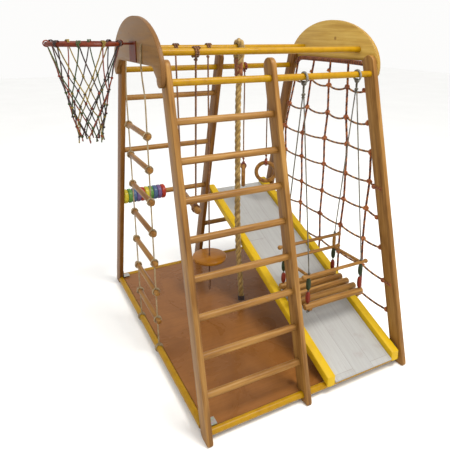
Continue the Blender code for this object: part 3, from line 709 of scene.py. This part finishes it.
def build_climbing_rope():
    """Three-strand rope over the bar; its short end is bound to the standing part under the bar."""
    def half_eye(side):
        angles = [math.radians(90 - side * turn) for turn in (0, 30, 60, 90)]
        bend = [(EYE_X, TOP_Y + EYE_RADIUS * math.cos(a), EYE_Z + EYE_RADIUS * math.sin(a)) for a in angles]
        return bend + [(EYE_X, TOP_Y + side * 0.0255, 1.290)]

    line = through(half_eye(-1) + list(ROPE_COURSE), 0.0045)
    shape = Shape()
    swept(shape, line, THICK, depth=0.24, lay=6.6, sides=18)
    rope = shape.build("climbing_rope_strands", [FINISHES["hemp"]], "climbing_rope", "hemp_rope",
                       ["climbing_rope"])
    short = Shape()
    ends = [(EYE_X, TOP_Y + 0.0155, 1.245), (EYE_X, TOP_Y + 0.0125, 1.200)]
    # the strands of both halves meet at the top of the bar, a third of a lobe apart
    swept(short, through(half_eye(1) + ends, 0.0045), THICK, depth=0.24, lay=6.6, sides=18, phase=math.pi / 3)
    tail = short.build("climbing_rope_tail", [FINISHES["hemp"]], "climbing_rope", "hemp_rope")

    binding = Shape()
    rings = []
    for step in range(25):
        t = step / 24
        z = 1.282 - 0.092 * t
        swell = 0.7 + 0.3 * min(1.0, 6 * t, 6 * (1 - t))
        half_y, half_x = (0.0335 - 0.0050 * t) * swell, 0.0172 * (0.94 + 0.06 * swell)
        middle_y = TOP_Y - 0.001 - 0.0025 * t
        rings.append([(EYE_X - 0.001 * t + half_x * math.cos(a), middle_y + half_y * math.sin(a), z)
                      for a in (2 * math.pi * side / 28 for side in range(28))])
    loft(binding, rings)
    bound = binding.build("climbing_rope_tape", [FINISHES["tape"]], "climbing_rope", "net_rope")

    end = Shape()
    foot, over = Vector(ROPE_COURSE[-1]), Vector(ROPE_COURSE[-2])
    along = (foot - over).normalized()
    for turn in range(7):
        centre = foot - along * (0.003 + 0.0034 * turn)
        swept(end, circle(centre, along, THICK + 0.0004, 28), 0.0018, lobes=0, sides=8, closed=True)
    whipping = end.build("climbing_rope_whipping", [FINISHES["ink_rope"]], "climbing_rope", "net_rope")


# ---- thin hanging cords -------------------------------------------------------------------------
def thin_cord(name, route, radius, finish, body, slot, stands_for=(),
              step=0.004):
    """A laid cord along a route."""
    line = through(route, step)
    shape = Shape()
    swept(shape, line, radius, sides=9)
    cord = shape.build(name, [FINISHES[finish]], body, slot, stands_for)
    return cord


def bar_hitch(name, x, y, z, rope, finish, slot, turns=2.6):
    """Turns of a rope's end round a bar, which stay put when the rope swings."""
    shape = Shape()
    coil(shape, (x, y, z), (1, 0, 0), DOWEL + 0.0002, rope, turns, math.pi)
    return shape.build(name, [FINISHES[finish]], "frame", slot)


DISC_X, DISC_Z, DISC_RADIUS = 0.388, 0.252, 0.091


def build_disc_swing():
    thin = 0.0045
    bar_hitch("disc_hitch", DISC_X, TOP_Y, TOP_Z, thin, "brown_rope", "net_rope")
    seat = Shape()
    edge = 0.0045
    profile = [(0.0, 0.030), (0.0, DISC_RADIUS - edge)]
    profile += [(0.009 - 0.009 * math.cos(a), DISC_RADIUS - edge + edge * math.sin(a))
                for a in (math.pi * step / 8 for step in range(1, 8))]
    profile += [(0.018, DISC_RADIUS - edge), (0.018, 0.030)]
    turned(seat, (DISC_X, TOP_Y, DISC_Z - 0.009), (DISC_X, TOP_Y, DISC_Z + 0.009), profile, 64)
    seat.build("disc_seat", [FINISHES["disc"]], "disc_swing", "varnished_birch", ["disc_swing"])
    knots = Shape()
    knot(knots, (DISC_X, TOP_Y, TOP_Z - DOWEL - 0.0115), (0, 0.2, 1), 0.0095)
    knot(knots, (DISC_X, TOP_Y, TOP_Z - DOWEL - 0.0285), (0.3, 0, 1), 0.0090, turn=1.0)
    knot(knots, (DISC_X, TOP_Y, DISC_Z - 0.0185), (0, 0, 1), 0.0120)
    knot(knots, (DISC_X, TOP_Y, 0.075), (0, 0.3, 1), 0.0085)
    tied = knots.build("disc_knots", [FINISHES["brown_rope"]], "disc_swing", "net_rope")
    route = [(DISC_X, TOP_Y, TOP_Z - DOWEL - 0.005), (DISC_X, TOP_Y, 1.10), (DISC_X + 0.001, TOP_Y, 0.80),
             (DISC_X - 0.001, TOP_Y, 0.50), (DISC_X, TOP_Y, DISC_Z), (DISC_X - 0.001, TOP_Y, 0.16),
             (DISC_X + 0.003, TOP_Y, 0.10), (DISC_X + 0.001, TOP_Y, 0.060)]
    thin_cord("disc_rope", route, thin, "brown_rope", "disc_swing", "net_rope")


RING_Z, RING_MAJOR, RING_MINOR = 0.643, 0.054, 0.011
RINGS = (("ring_left", 0.643, 28.8), ("ring_right", 0.788, -62.0))


def build_rings():
    thin = 0.0040
    for name, x, heading in RINGS:
        turn = math.radians(heading)
        normal = Vector((math.cos(turn), -math.sin(turn), 0))
        bar_hitch(name + "_hitch", x, LOWER_Y, LOWER_Z, thin, "red_rope", "net_rope", 2.2)
        hoop = Shape()
        swept(hoop, circle((x, LOWER_Y, RING_Z), normal, RING_MAJOR, 64), RING_MINOR, lobes=0, sides=20,
              closed=True)
        hoop.build(name + "_hoop", [FINISHES["turned"]], name, "varnished_birch", [name])
        ties = Shape()
        top = RING_Z + RING_MAJOR
        along = normal.cross(Vector((0, 0, 1)))
        coil(ties, (x, LOWER_Y, top), along, RING_MINOR, thin, 1.6, 0.4)
        knot(ties, (x, LOWER_Y, top + RING_MINOR + 0.008), (0, 0.1, 1), 0.0095)
        knot(ties, (x, LOWER_Y, top + RING_MINOR + 0.030), (0.2, 0, 1), 0.0080, turn=0.7)
        if name == "ring_left":
            for drop in (0.022, 0.050):
                knot(ties, (x, LOWER_Y, LOWER_Z - DOWEL - drop + 0.010), (0, 0.2, 1), 0.0090, turn=drop * 40)
        else:
            knot(ties, (x, LOWER_Y, LOWER_Z - DOWEL - 0.012), (0, 0.2, 1), 0.0090)
            for lift in (0.063, 0.104):
                swept(ties, circle((x, LOWER_Y, RING_Z + lift), (0, 0, 1), thin + 0.0020,
                                   16, 0.0, 2.0, 0.008),
                      0.0020, sides=8, depth=0.1)
        tied = ties.build(name + "_ties", [FINISHES["red_rope"]], name, "net_rope")
        top_z = LOWER_Z - DOWEL - 0.003
        route = [(x, LOWER_Y, top_z), (x + 0.001, LOWER_Y, 1.10), (x - 0.001, LOWER_Y, 0.92),
                 (x, LOWER_Y, 0.78), (x, LOWER_Y, top + RING_MINOR + 0.004)]
        thin_cord(name + "_cord", route, thin, "brown_rope", name, "net_rope")


TRAPEZE_HANGS = (Vector((0.150, -TOP_Y, TOP_Z)), Vector((0.225, TOP_Y, TOP_Z)))
TRAPEZE_ENDS = (Vector((0.175, -0.125, 0.680)), Vector((0.208, 0.125, 0.680)))


def build_trapeze():
    thin = 0.0045
    along = (TRAPEZE_ENDS[1] - TRAPEZE_ENDS[0]).normalized()
    start, stop = TRAPEZE_ENDS[0] - along * 0.030, TRAPEZE_ENDS[1] + along * 0.030
    bar = Shape()
    dowel(bar, start, stop, 0.0115, sides=28)
    for centre in (start, stop):
        bead(bar, centre - along * 0.0135, centre + along * 0.0135, 0.0145, 0.30, 28)
    bar.build("trapeze_bar", [FINISHES["turned"]], "trapeze", "varnished_birch", ["trapeze"])
    for tag, hang, end in zip(("front", "back"), TRAPEZE_HANGS, TRAPEZE_ENDS):
        bar_hitch("trapeze_hitch_" + tag, hang.x, hang.y, hang.z, thin, "brown_rope", "net_rope")
        down = (end - hang).normalized()
        ties = Shape()
        coil(ties, end, along, 0.0115, thin * 0.9, 2.2, 0.5)
        knot(ties, end - down * 0.021, down, 0.0085)
        knot(ties, hang + down * 0.0290, down, 0.0088)
        tied = ties.build("trapeze_ties_" + tag, [FINISHES["brown_rope"]], "trapeze", "net_rope")
        route = [hang + down * 0.0195, hang.lerp(end, 0.3), hang.lerp(end, 0.6), end - down * 0.014]
        thin_cord("trapeze_rope_" + tag, [tuple(spot) for spot in route], thin, "brown_rope", "trapeze",
                  "net_rope")


# ---- baby swing ---------------------------------------------------------------------------------
SEAT_LEFT, SEAT_RIGHT = 0.545, 0.865
SEAT_Y, SEAT_Z = -0.330, 0.268
SLAT_STEP, SLAT_RADIUS = 0.0475, 0.0145
CORNER_X = (0.562, 0.848)
FRONT_Y, BACK_Y = SEAT_Y - 2 * SLAT_STEP, SEAT_Y + 2 * SLAT_STEP
FRONT_RAIL_Z, RAIL_Z, BACK_RAIL_Z = 0.411, 0.405, 0.467
RAIL_ROD = 0.0075
HANGER_X = (0.572, 0.847)
RING_WIRE, HOOK_RING = 0.0045, 0.022
NECK_Z = (1.166, 1.175)


def rail(shape, start, end, radius):
    """A turned rail with a small ball on each end."""
    start, end = Vector(start), Vector(end)
    along = (end - start).normalized()
    dowel(shape, start, end, radius, 0.002, 20)
    for tip in (start, end):
        bead(shape, tip - along * 0.010, tip + along * 0.010, radius + 0.0028, 0.25, 20)


def build_swing_seat():
    slats = Shape()
    for step in range(-2, 3):
        y = SEAT_Y + step * SLAT_STEP
        dowel(slats, (SEAT_LEFT, y, SEAT_Z), (SEAT_RIGHT, y, SEAT_Z), SLAT_RADIUS, 0.005, 24)
    slats.build("swing_slats", [FINISHES["turned_x"]], "swing", "varnished_birch", ["swing_seat"])
    cleats = Shape()
    for x in (CORNER_X[0] + 0.010, CORNER_X[1] - 0.010):
        slab(cleats, (x - 0.010, FRONT_Y - 0.013, SEAT_Z - 0.018),
             (x + 0.010, BACK_Y + 0.013, SEAT_Z - 0.006))
    cleats.build("swing_cleats", [FINISHES["turned"]], "swing", "varnished_birch")

    rails = Shape()
    for y, z in ((FRONT_Y, FRONT_RAIL_Z), (BACK_Y, RAIL_Z), (BACK_Y, BACK_RAIL_Z)):
        rail(rails, (SEAT_LEFT - 0.008, y, z), (SEAT_RIGHT + 0.010, y, z), RAIL_ROD)
    for x in CORNER_X:
        dowel(rails, (x, FRONT_Y + 0.004, FRONT_RAIL_Z), (x, BACK_Y - 0.004, RAIL_Z),
              RAIL_ROD - 0.0006, 0.002, 20)
        bead(rails, (x, BACK_Y, RAIL_Z + 0.004), (x, BACK_Y, BACK_RAIL_Z - 0.004), 0.0086, 0.62)
    rails.build("swing_rails", [FINISHES["turned_x"]], "swing", "varnished_birch", ["swing_guard_rails"])


def corner_beads(name, x, y, rail_z):
    """The threaded beads between the seat and a rail: red under green, dark cord between them."""
    seat_top = SEAT_Z + SLAT_RADIUS
    room = rail_z - RAIL_ROD - seat_top
    beads = Shape()
    lower = (seat_top + 0.002, seat_top + 0.46 * room)
    upper = (seat_top + 0.54 * room, seat_top + room - 0.002)
    bead(beads, (x, y, lower[0]), (x, y, lower[1]), 0.0104, 0.45, finish=1)
    bead(beads, (x, y, upper[0]), (x, y, upper[1]), 0.0104, 0.45, finish=0)
    return beads.build(name, [GREEN_BEAD, RED_BEAD], "swing", "bead_green")


def build_swing_hangers():
    thin = 0.0030
    ring_z = LOWER_Z + DOWEL + 0.0003 + RING_WIRE - HOOK_RING
    for tag, ring_x, corner_x, neck_z in zip(("left", "right"), HANGER_X, CORNER_X, NECK_Z):
        steel = Shape()
        swept(steel, circle((ring_x, -LOWER_Y, ring_z), (1, 0, 0), HOOK_RING, 48), RING_WIRE, lobes=0,
              sides=14, closed=True)
        steel.build("swing_ring_" + tag, [FINISHES["ring_steel"]], "swing", "zinc_steel",
                    ["swing_hanger_" + tag])
        necks = Shape()
        low = ring_z - HOOK_RING
        coil(necks, (ring_x, -LOWER_Y, low), (0, 1, 0), RING_WIRE, thin, 2.0, 0.8)
        knot(necks, (ring_x, -LOWER_Y, neck_z), (0, 0.1, 1), 0.0095)
        knot(necks, (ring_x, -LOWER_Y, neck_z - 0.012), (0.3, 0.1, 1), 0.0080, turn=0.9)
        neck = necks.build("swing_neck_" + tag, [FINISHES["grey_rope"]], "swing", "grey_cord")
        for place, y, rail_z, top_z, side in (("front", FRONT_Y, FRONT_RAIL_Z, FRONT_RAIL_Z, -1),
                                              ("back", BACK_Y, RAIL_Z, BACK_RAIL_Z, 1)):
            beads = corner_beads("swing_beads_%s_%s" % (tag, place), corner_x, y, rail_z)
            end = Shape()
            inward = 0.0065 if tag == "left" else -0.0065     # beside the slide's rail
            knot(end, (corner_x + inward, y, SEAT_Z - 0.0235), (0, 0, 1), 0.0068)
            knot(end, (corner_x, y, top_z + RAIL_ROD + 0.006), (0, 0.1, 1), 0.0070)
            tied = end.build("swing_knots_%s_%s" % (tag, place), [FINISHES["grey_rope"]], "swing",
                             "grey_cord")
            near = -LOWER_Y + side * thin * 1.05
            neck_spot = Vector((ring_x, near, neck_z))
            rail_spot = Vector((corner_x, y, top_z + RAIL_ROD))
            route = [(ring_x, near, low - 0.002), tuple(neck_spot + Vector((0, 0, 0.012))), tuple(neck_spot)]
            route += [tuple(neck_spot.lerp(rail_spot, share)) for share in (0.12, 0.4, 0.7, 0.95)]
            route += [(corner_x, y, top_z - 0.008), (corner_x, y, (top_z + SEAT_Z) / 2),
                      (corner_x, y, SEAT_Z - 0.030)]
            thin_cord("swing_cord_%s_%s" % (tag, place), route, thin, "grey_rope", "swing", "grey_cord")


# ---- rope ladder --------------------------------------------------------------------------------
LADDER_TOP = (-0.020, 1.287)
LADDER_ROPES = (("front", -0.096, -0.092), ("back", 0.186, 0.176))
LADDER_RUNGS = 7
LADDER_FIRST, LADDER_PITCH = 1.006, 0.1385
LADDER_ROD = 0.0115
LADDER_THIN = 0.0035


def ladder_x(z):
    return LADDER_TOP[0] * (z - BASE_Z) / (LADDER_TOP[1] - BASE_Z)


def ladder_spot(top_y, low_y, z):
    low = BASE_Z + DOWEL
    share = (z - low) / (LADDER_TOP[1] - low)
    return (ladder_x(z), low_y + (top_y - low_y) * share, z)


def build_rope_ladder():
    """Two thin ropes through the rungs' ends; one comes through the plate, one off the top bar."""
    heights = [LADDER_FIRST - LADDER_PITCH * step for step in range(LADDER_RUNGS)]
    rungs = Shape()
    for z in heights:
        dowel(rungs, (ladder_x(z), -0.120, z), (ladder_x(z), 0.204, z), LADDER_ROD, 0.0065, 24)
    rungs.build("ladder_rungs", [FINISHES["turned"]], "frame", "varnished_birch", ["rope_ladder"])
    for tag, top_y, low_y in LADDER_ROPES:
        ties = Shape()
        for z in heights:
            spot = Vector(ladder_spot(top_y, low_y, z))
            coil(ties, spot, (0, 1, 0), LADDER_ROD, LADDER_THIN, 1.7, 0.0)
            knot(ties, spot + Vector((0, 0, -LADDER_ROD - 0.006)), (0, 0.2, 1), 0.0056, turn=z * 9)
        foot = ladder_spot(top_y, low_y, BASE_Z + DOWEL)
        coil(ties, (0, foot[1], BASE_Z), (0, 1, 0), DOWEL, LADDER_THIN, 2.6, 0.0)
        tied = ties.build("ladder_ties_" + tag, [FINISHES["ladder_rope"]], "frame", "hemp_rope")
        face = GUSSET_FACE - LADDER_THIN * 0.9
        if tag == "front":
            top = [(GUSSET_FACE + 0.006, -0.1200, 1.366), (face, -0.1188, 1.357), (face, -0.1130, 1.325),
                   (face, -0.1085, 1.292), (face + 0.005, -0.1030, 1.230)]
        else:
            top = [(-0.004, TOP_Y - DOWEL - LADDER_THIN, 1.334), (-0.006, 0.1915, 1.305),
                   (-0.012, 0.1885, 1.262)]
        route = top + [ladder_spot(top_y, low_y, z) for z in
                       (1.150, 1.006, 0.868, 0.729, 0.591, 0.452, 0.314, 0.175, 0.110)]
        route.append(ladder_spot(top_y, low_y, BASE_Z + DOWEL + 0.004))
        thin_cord("ladder_rope_" + tag, route, LADDER_THIN, "ladder_rope", "frame", "hemp_rope")
    shape = Shape()
    coil(shape, (-0.002, TOP_Y, TOP_Z), (1, 0, 0), DOWEL + 0.0002, LADDER_THIN, 1.9, math.pi)
    shape.build("ladder_hitch", [FINISHES["ladder_rope"]], "frame", "hemp_rope")


# ---- climbing net -------------------------------------------------------------------------------
NET_ROWS = 8
NET_TOP_ROW, NET_PITCH = 1.168, 0.1375
NET_ARCH_Z, NET_SPREAD_Z = 1.287, 0.9
NET_ROPE = 0.0058
# each vertical rope: its place under the plate, its place from NET_SPREAD_Z down, its first row
NET_COLUMNS = ((0.235, 0.335, 0), (0.098, 0.165, 0), (-0.030, -0.020, 0), (-0.158, -0.185, 0),
               (-0.347, -0.347, 2))
SAG = 0.010


def net_knot(column, row, jitter):
    """Where a vertical rope meets a row, a little out of line as tied by hand."""
    top_y, low_y, _ = NET_COLUMNS[column]
    z = NET_TOP_ROW - NET_PITCH * row
    share = min((NET_ARCH_Z - z) / (NET_ARCH_Z - NET_SPREAD_Z), 1.0)
    nudge = jitter[column, row]
    return Vector((SPAN, top_y + (low_y - top_y) * share + 0.8 * nudge[0], z + nudge[1]))


def sagging(start, stop, sag, parts=5):
    """Points between two ties, hanging lowest in the middle; the ends aren't among them."""
    spots = []
    for step in range(1, parts):
        t = step / parts
        spots.append(start.lerp(stop, t) + Vector((0, 0, -4 * sag * t * (1 - t))))
    return spots


def build_climbing_net():
    chance = random.Random(7)
    jitter = {(column, row): (chance.uniform(-0.009, 0.009), chance.uniform(-0.010, 0.010))
              for column in range(len(NET_COLUMNS)) for row in range(NET_ROWS)}
    ropes, knots, ties = Shape(), Shape(), Shape()      # the rows take the second finish of ropes
    for column, (top_y, _, first) in enumerate(NET_COLUMNS):
        line = [Vector((SPAN, top_y, NET_ARCH_Z - 0.004))] if first == 0 else []
        line += [net_knot(column, row, jitter) for row in range(first, NET_ROWS)]
        line.append(line[-1] + Vector((0.001, chance.uniform(-0.004, 0.004), -0.016)))
        swept(ropes, through(line, 0.005), NET_ROPE, sides=12, depth=0.2)
    for row in range(NET_ROWS):
        held = [net_knot(column, row, jitter) for column, (_, _, first) in enumerate(NET_COLUMNS)
                if first <= row]
        z = NET_TOP_ROW - NET_PITCH * row
        reach = leg_y(z) - 0.0350
        back = Vector((SPAN, reach, z + chance.uniform(-0.004, 0.008)))
        front = Vector((SPAN, -reach, z + chance.uniform(-0.012, 0.004)))
        stops = [back] + held + [front]
        line = []
        for start, stop in zip(stops, stops[1:]):
            slack = SAG * (1.5 if row < 2 else 0.7) * min(1.0, (stop - start).length / 0.12)
            line += [start] + sagging(start, stop, slack)
        line.append(stops[-1])
        swept(ropes, through(line, 0.005), NET_ROPE * 0.92, sides=12, depth=0.2, finish=1)
        for spot in held:
            way = (chance.uniform(-0.4, 0.4), chance.uniform(-0.5, 0.5), 1)
            knot(knots, spot, (1, way[0], way[1]), 0.0158, turn=chance.uniform(0, 6))
        for spot, side in ((back, 1), (front, -1)):
            knot(knots, spot - Vector((0, side * 0.010, 0)), (0.3, 1, 0.2), 0.0140, turn=row)
            collar = spot + Vector((0, side * 0.020, 0.004))
            for lift in (-0.0035, 0.0035):
                low_y, high_y = sorted((collar.y - side * 0.024, collar.y + side * 0.026))
                half = (high_y - low_y) / 2
                band = []
                for step in range(28):
                    a = 2 * math.pi * step / 28
                    wide = abs(math.cos(a)) ** 0.35 * math.copysign(1, math.cos(a))
                    deep = abs(math.sin(a)) ** 0.35 * math.copysign(1, math.sin(a))
                    band.append((SPAN + 0.0135 * deep, (low_y + high_y) / 2 + half * wide, collar.z + lift))
                if row in (3, 6):
                    swept(ties, band, 0.0030, sides=8, closed=True, depth=0.12)
    for y, z in ((0.121, 1.215), (-0.018, 1.231)):
        knot(knots, (SPAN, y, z), (1, 0.2, 0), 0.0105)
    ropes.build("net_ropes", [FINISHES["net_rope"], FINISHES["net_row"]], "frame", "net_rope",
                ["climbing_net"])
    knots.build("net_knots", [FINISHES["net_knot"]], "frame", "net_rope")
    ties.build("net_leg_ties", [FINISHES["net_knot"]], "frame", "net_rope")


LASHING = ((-0.256, 1.277), (-0.180, 1.279), (-0.080, 1.280), (0.020, 1.280), (0.120, 1.280), (0.205, 1.279),
           (0.235, 1.270), (0.254, 1.250))


WRAP_PITCH, WRAP_RADIUS = 0.0165, 0.0082


def build_net_lashing():
    """The net's head rope under the plate's lower edge, wound with a second rope all along."""
    head = through([(SPAN, y, z) for y, z in LASHING], 0.004)
    core, wraps = Shape(), Shape()
    swept(core, head, 0.0052, sides=12)
    spots = np.array([tuple(spot) for spot in head])
    across, up = carried(spots, False)
    along = np.concatenate([[0.0], np.cumsum(np.linalg.norm(np.diff(spots, axis=0), axis=1))])
    count = int(along[-1] / WRAP_PITCH * 12)
    for start in (0.0, math.pi):
        line = []
        for step in range(count + 1):
            at = along[-1] * step / count
            angle = start + 2 * math.pi * at / WRAP_PITCH
            centre = [np.interp(at, along, spots[:, axis]) for axis in range(3)]
            side = [np.interp(at, along, across[:, axis]) for axis in range(3)]
            rise = [np.interp(at, along, up[:, axis]) for axis in range(3)]
            line.append(np.array(centre) + WRAP_RADIUS * (math.cos(angle) * np.array(side)
                                                            + math.sin(angle) * np.array(rise)))
        swept(wraps, line, 0.0033, sides=8, depth=0.14)
    core.build("net_head_rope", [FINISHES["beige_rope"]], "frame", "net_rope")
    wraps.build("net_lashing", [FINISHES["net_rope"]], "frame", "net_rope")


# ---- hoop net -----------------------------------------------------------------------------------
HOOP_LOOPS = 10
HOOP_CORD = 0.0026
# the net's levels: height under the rim and radius, from the rim to the cut tails
HOOP_LEVELS = ((0.000, 0.133), (0.124, 0.096), (0.182, 0.079), (0.230, 0.070), (0.274, 0.062), (0.314, 0.053),
               (0.350, 0.046))
HOOP_FINISHES = ("red_rope", "ink_rope", "green_rope", "gold_rope", "ink_rope")


def build_hoop_net():
    low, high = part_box("hoop_rim")
    tube = 0.008
    radius = (high.y - low.y) / 2 - tube
    centre = Vector((low.x - ORIGIN_X + radius + tube, 0, (low.z + high.z) / 2))
    centre.z = high.z - tube - 0.002
    chance = random.Random(3)
    jitter = {(level, index): chance.uniform(-1, 1) for level in range(len(HOOP_LEVELS))
              for index in range(2 * HOOP_LOOPS)}

    def spot(level, place):
        """A knot of the net: place counts half loops round the hoop."""
        drop, reach = HOOP_LEVELS[level]
        wobble = jitter[level, int(place) % (2 * HOOP_LOOPS)] if level else 0.0
        angle = math.pi * (place + 0.10 * wobble) / HOOP_LOOPS
        reach *= 1 + 0.05 * wobble
        lift = -drop + 0.006 * wobble
        return centre + Vector((reach * math.cos(angle), reach * math.sin(angle), lift))

    cords, knots, loops = Shape(), Shape(), Shape()
    last = len(HOOP_LEVELS) - 1
    for index in range(HOOP_LOOPS):
        for way in (-1, 1):
            finish = (index + (2 if way > 0 else 0)) % len(HOOP_FINISHES)
            stops = [spot(level, 2 * index + way * level) for level in range(len(HOOP_LEVELS))]
            line = []
            for level, (start, stop) in enumerate(zip(stops, stops[1:])):
                bow = 0.012 if level == 0 else 0.003
                line.append(start)
                for share in (0.3, 0.65):
                    middle_spot = start.lerp(stop, share)
                    outward = Vector((middle_spot.x - centre.x, middle_spot.y, 0)).normalized()
                    line.append(middle_spot - outward * bow * 0.3 + Vector((0, 0, -bow * (1 - share))))
            line.append(stops[-1])
            tail = stops[-1] + Vector((chance.uniform(-0.006, 0.006), chance.uniform(-0.006, 0.006),
                                       -chance.uniform(0.014, 0.027)))
            line.append(tail)
            swept(cords, through(line, 0.0035), HOOP_CORD, sides=6, lobes=2, depth=0.12, finish=finish)
        angle = 2 * math.pi * index / HOOP_LOOPS
        out = Vector((math.cos(angle), math.sin(angle), 0))
        rim_spot = centre + out * radius + Vector((0, 0, 0.002))
        around = Vector((-math.sin(angle), math.cos(angle), 0))
        coil(loops, rim_spot, around, tube + 0.0004, HOOP_CORD, 2.2, 0.0, finish=index % len(HOOP_FINISHES))
    for level in range(1, last + 1):
        for index in range(HOOP_LOOPS):
            place = 2 * index + level % 2
            at = spot(level, place)
            size = 0.0068 if level < last else 0.0062
            knot(knots, at, (chance.uniform(-1, 1), chance.uniform(-1, 1), 1.5), size,
                 finish=(index + level) % len(HOOP_FINISHES))
    colours = [FINISHES[name] for name in HOOP_FINISHES]
    cords.build("hoop_net_cords", colours, "frame", "net_rope", ["hoop_net"])
    knots.build("hoop_net_knots", colours, "frame", "net_rope")
    loops.build("hoop_net_loops", colours, "frame", "net_rope")


# ---- floor --------------------------------------------------------------------------------------
def build_floor():
    made = Finish("studio_floor", 0.75)
    patch = made.noise(made.place, 1.4, 2.0, 0.5)
    made.colour(made.ramp(patch, [(0.3, (0.955, 0.955, 0.945, 1)), (0.7, (0.98, 0.98, 0.97, 1))]))
    mesh = bpy.data.meshes.new("studio_floor")
    reach = 14.0
    mesh.from_pydata([(-reach, -reach, 0), (reach, -reach, 0), (reach, reach, 0), (-reach, reach, 0)], [],
                     [(0, 1, 2, 3)])
    mesh.materials.append(made.made)
    floor = bpy.data.objects.new("studio_floor", mesh)
    bpy.context.scene.collection.objects.link(floor)
    floor.location.z = -0.0005


bpy.context.scene.view_settings.view_transform = "Standard"
build_camera()
build_lights()
build_floor()
dress_frame()
build_climbing_rope()
build_disc_swing()
build_rings()
build_trapeze()
build_swing_seat()
build_swing_hangers()
build_rope_ladder()
build_climbing_net()
build_net_lashing()
build_hoop_net()
